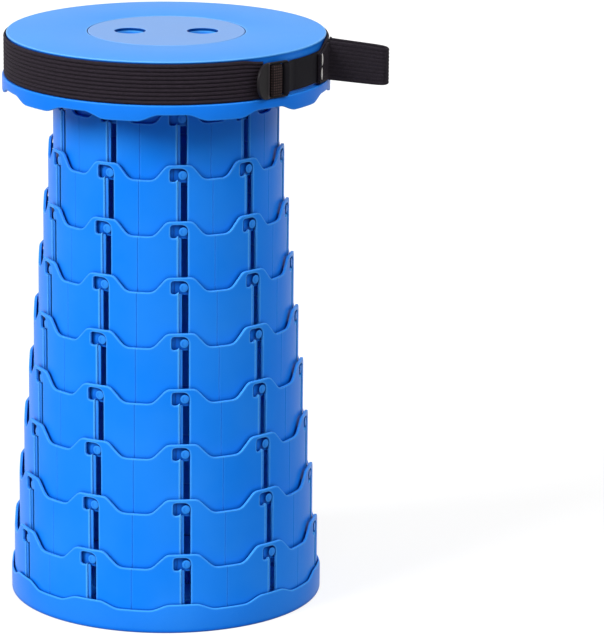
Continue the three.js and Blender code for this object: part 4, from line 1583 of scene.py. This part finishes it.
def make_floor():
    """A wide level plane at height 0, in metres, with the glow where it is seen."""
    side = FLOOR_HALF
    mesh = bpy.data.meshes.new("floor")
    corners = [(-side, -side, 0), (side, -side, 0), (side, side, 0), (-side, side, 0)]
    mesh.from_pydata(corners, [], [(0, 1, 2, 3)])
    material, nodes, links, shader = node_tree("white_floor")
    shader.inputs["Base Color"].default_value = (FLOOR_GREY, FLOOR_GREY, FLOOR_GREY, 1)
    shader.inputs["Roughness"].default_value = FLOOR_ROUGHNESS
    shader.inputs["Specular IOR Level"].default_value = FLOOR_GLOSS
    shader.inputs["Emission Color"].default_value = (1, 1, 1, 1)
    glow = mapped(nodes, links, seen_or_mirrored(nodes, links), 0.0, FLOOR_GLOW)
    links.new(glow, shader.inputs["Emission Strength"])
    mesh.materials.append(material)
    floor = bpy.data.objects.new("floor", mesh)
    bpy.context.scene.collection.objects.link(floor)
    floor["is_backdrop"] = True
    print("The floor is", 2 * side, "m wide")


make_floor()

# %% [markdown]
# ## The light
#
# The photograph was lit from the front left by one large soft source, with weaker light from the right, the
# front and above. Area lamps could do this, but near the floor they leave a bright pool that ends in a
# visible edge. A sun lamp with a wide angle is as soft and lights the whole floor alike. A white surround
# adds a little light from everywhere and gives the gloss something pale to mirror.

# %% Suns and surround
SUN_DISTANCE = 4
SURROUND_LIGHT = 0.15
SUNS = (
    ("key", -56, 32, 2.9, 26),
    ("front", 5, 40, 0.8, 40),
    ("fill", 66, 46, 1.02, 34),
    ("top", 0, 84, 0.4, 40),
)


def towards(azimuth, elevation):
    """The direction from the stool to an azimuth and an elevation in degrees: (cos e sin a, -cos e cos a,
    sin e)."""
    a, e = math.radians(azimuth), math.radians(elevation)
    return np.array([math.cos(e) * math.sin(a), -math.cos(e) * math.cos(a), math.sin(e)])


def soft_sun(name, azimuth, elevation, strength, angle):
    """A far, wide light that is as bright on the whole floor. Its shadows soften over the angle in degrees.
    It looks along its own -Z, so its matrix holds a level right, an up and the direction towards it."""
    back = towards(azimuth, elevation)
    right = np.cross([0, 0, 1], back)
    right /= np.linalg.norm(right)
    turn = np.column_stack([right, np.cross(back, right), back])
    data = bpy.data.lights.new(name, "SUN")
    data.energy = strength
    data.angle = math.radians(angle)
    lamp = bpy.data.objects.new(name, data)
    lamp.matrix_world = Matrix.Translation((back * SUN_DISTANCE).tolist()) @ Matrix(turn.tolist()).to_4x4()
    bpy.context.scene.collection.objects.link(lamp)
    print("The", name, "light has strength", strength)


def make_surround():
    """A white surround on every side. It is seen and mirrored at full white, and the stool is lit by less
    of it, so that the suns shape it."""
    world = bpy.data.worlds.new("surround")
    world.use_nodes = True
    nodes = world.node_tree.nodes
    links = world.node_tree.links
    background = nodes["Background"]
    background.inputs["Color"].default_value = (1, 1, 1, 1)
    strength = mapped(nodes, links, seen_or_mirrored(nodes, links), SURROUND_LIGHT, 1.0)
    links.new(strength, background.inputs["Strength"])
    bpy.context.scene.world = world


make_surround()
for sun in SUNS:
    soft_sun(*sun)
bpy.context.scene.view_settings.view_transform = "Standard"

# %% [markdown]
# ## The last look
#
# A dressed stool has to be as large as its plain solids, or it won't fit where they fit. So both boxes are
# measured, kept side by side and printed before the lesson ends.

# %% Measure and finish
sizes = {"cad": [list(corner) for corner in cad_bounds], "visual": [list(corner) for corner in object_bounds()]}
for model, corners in sizes.items():
    print(model, "box in mm:", [[round(value / MM, 1) for value in corner] for corner in corners])
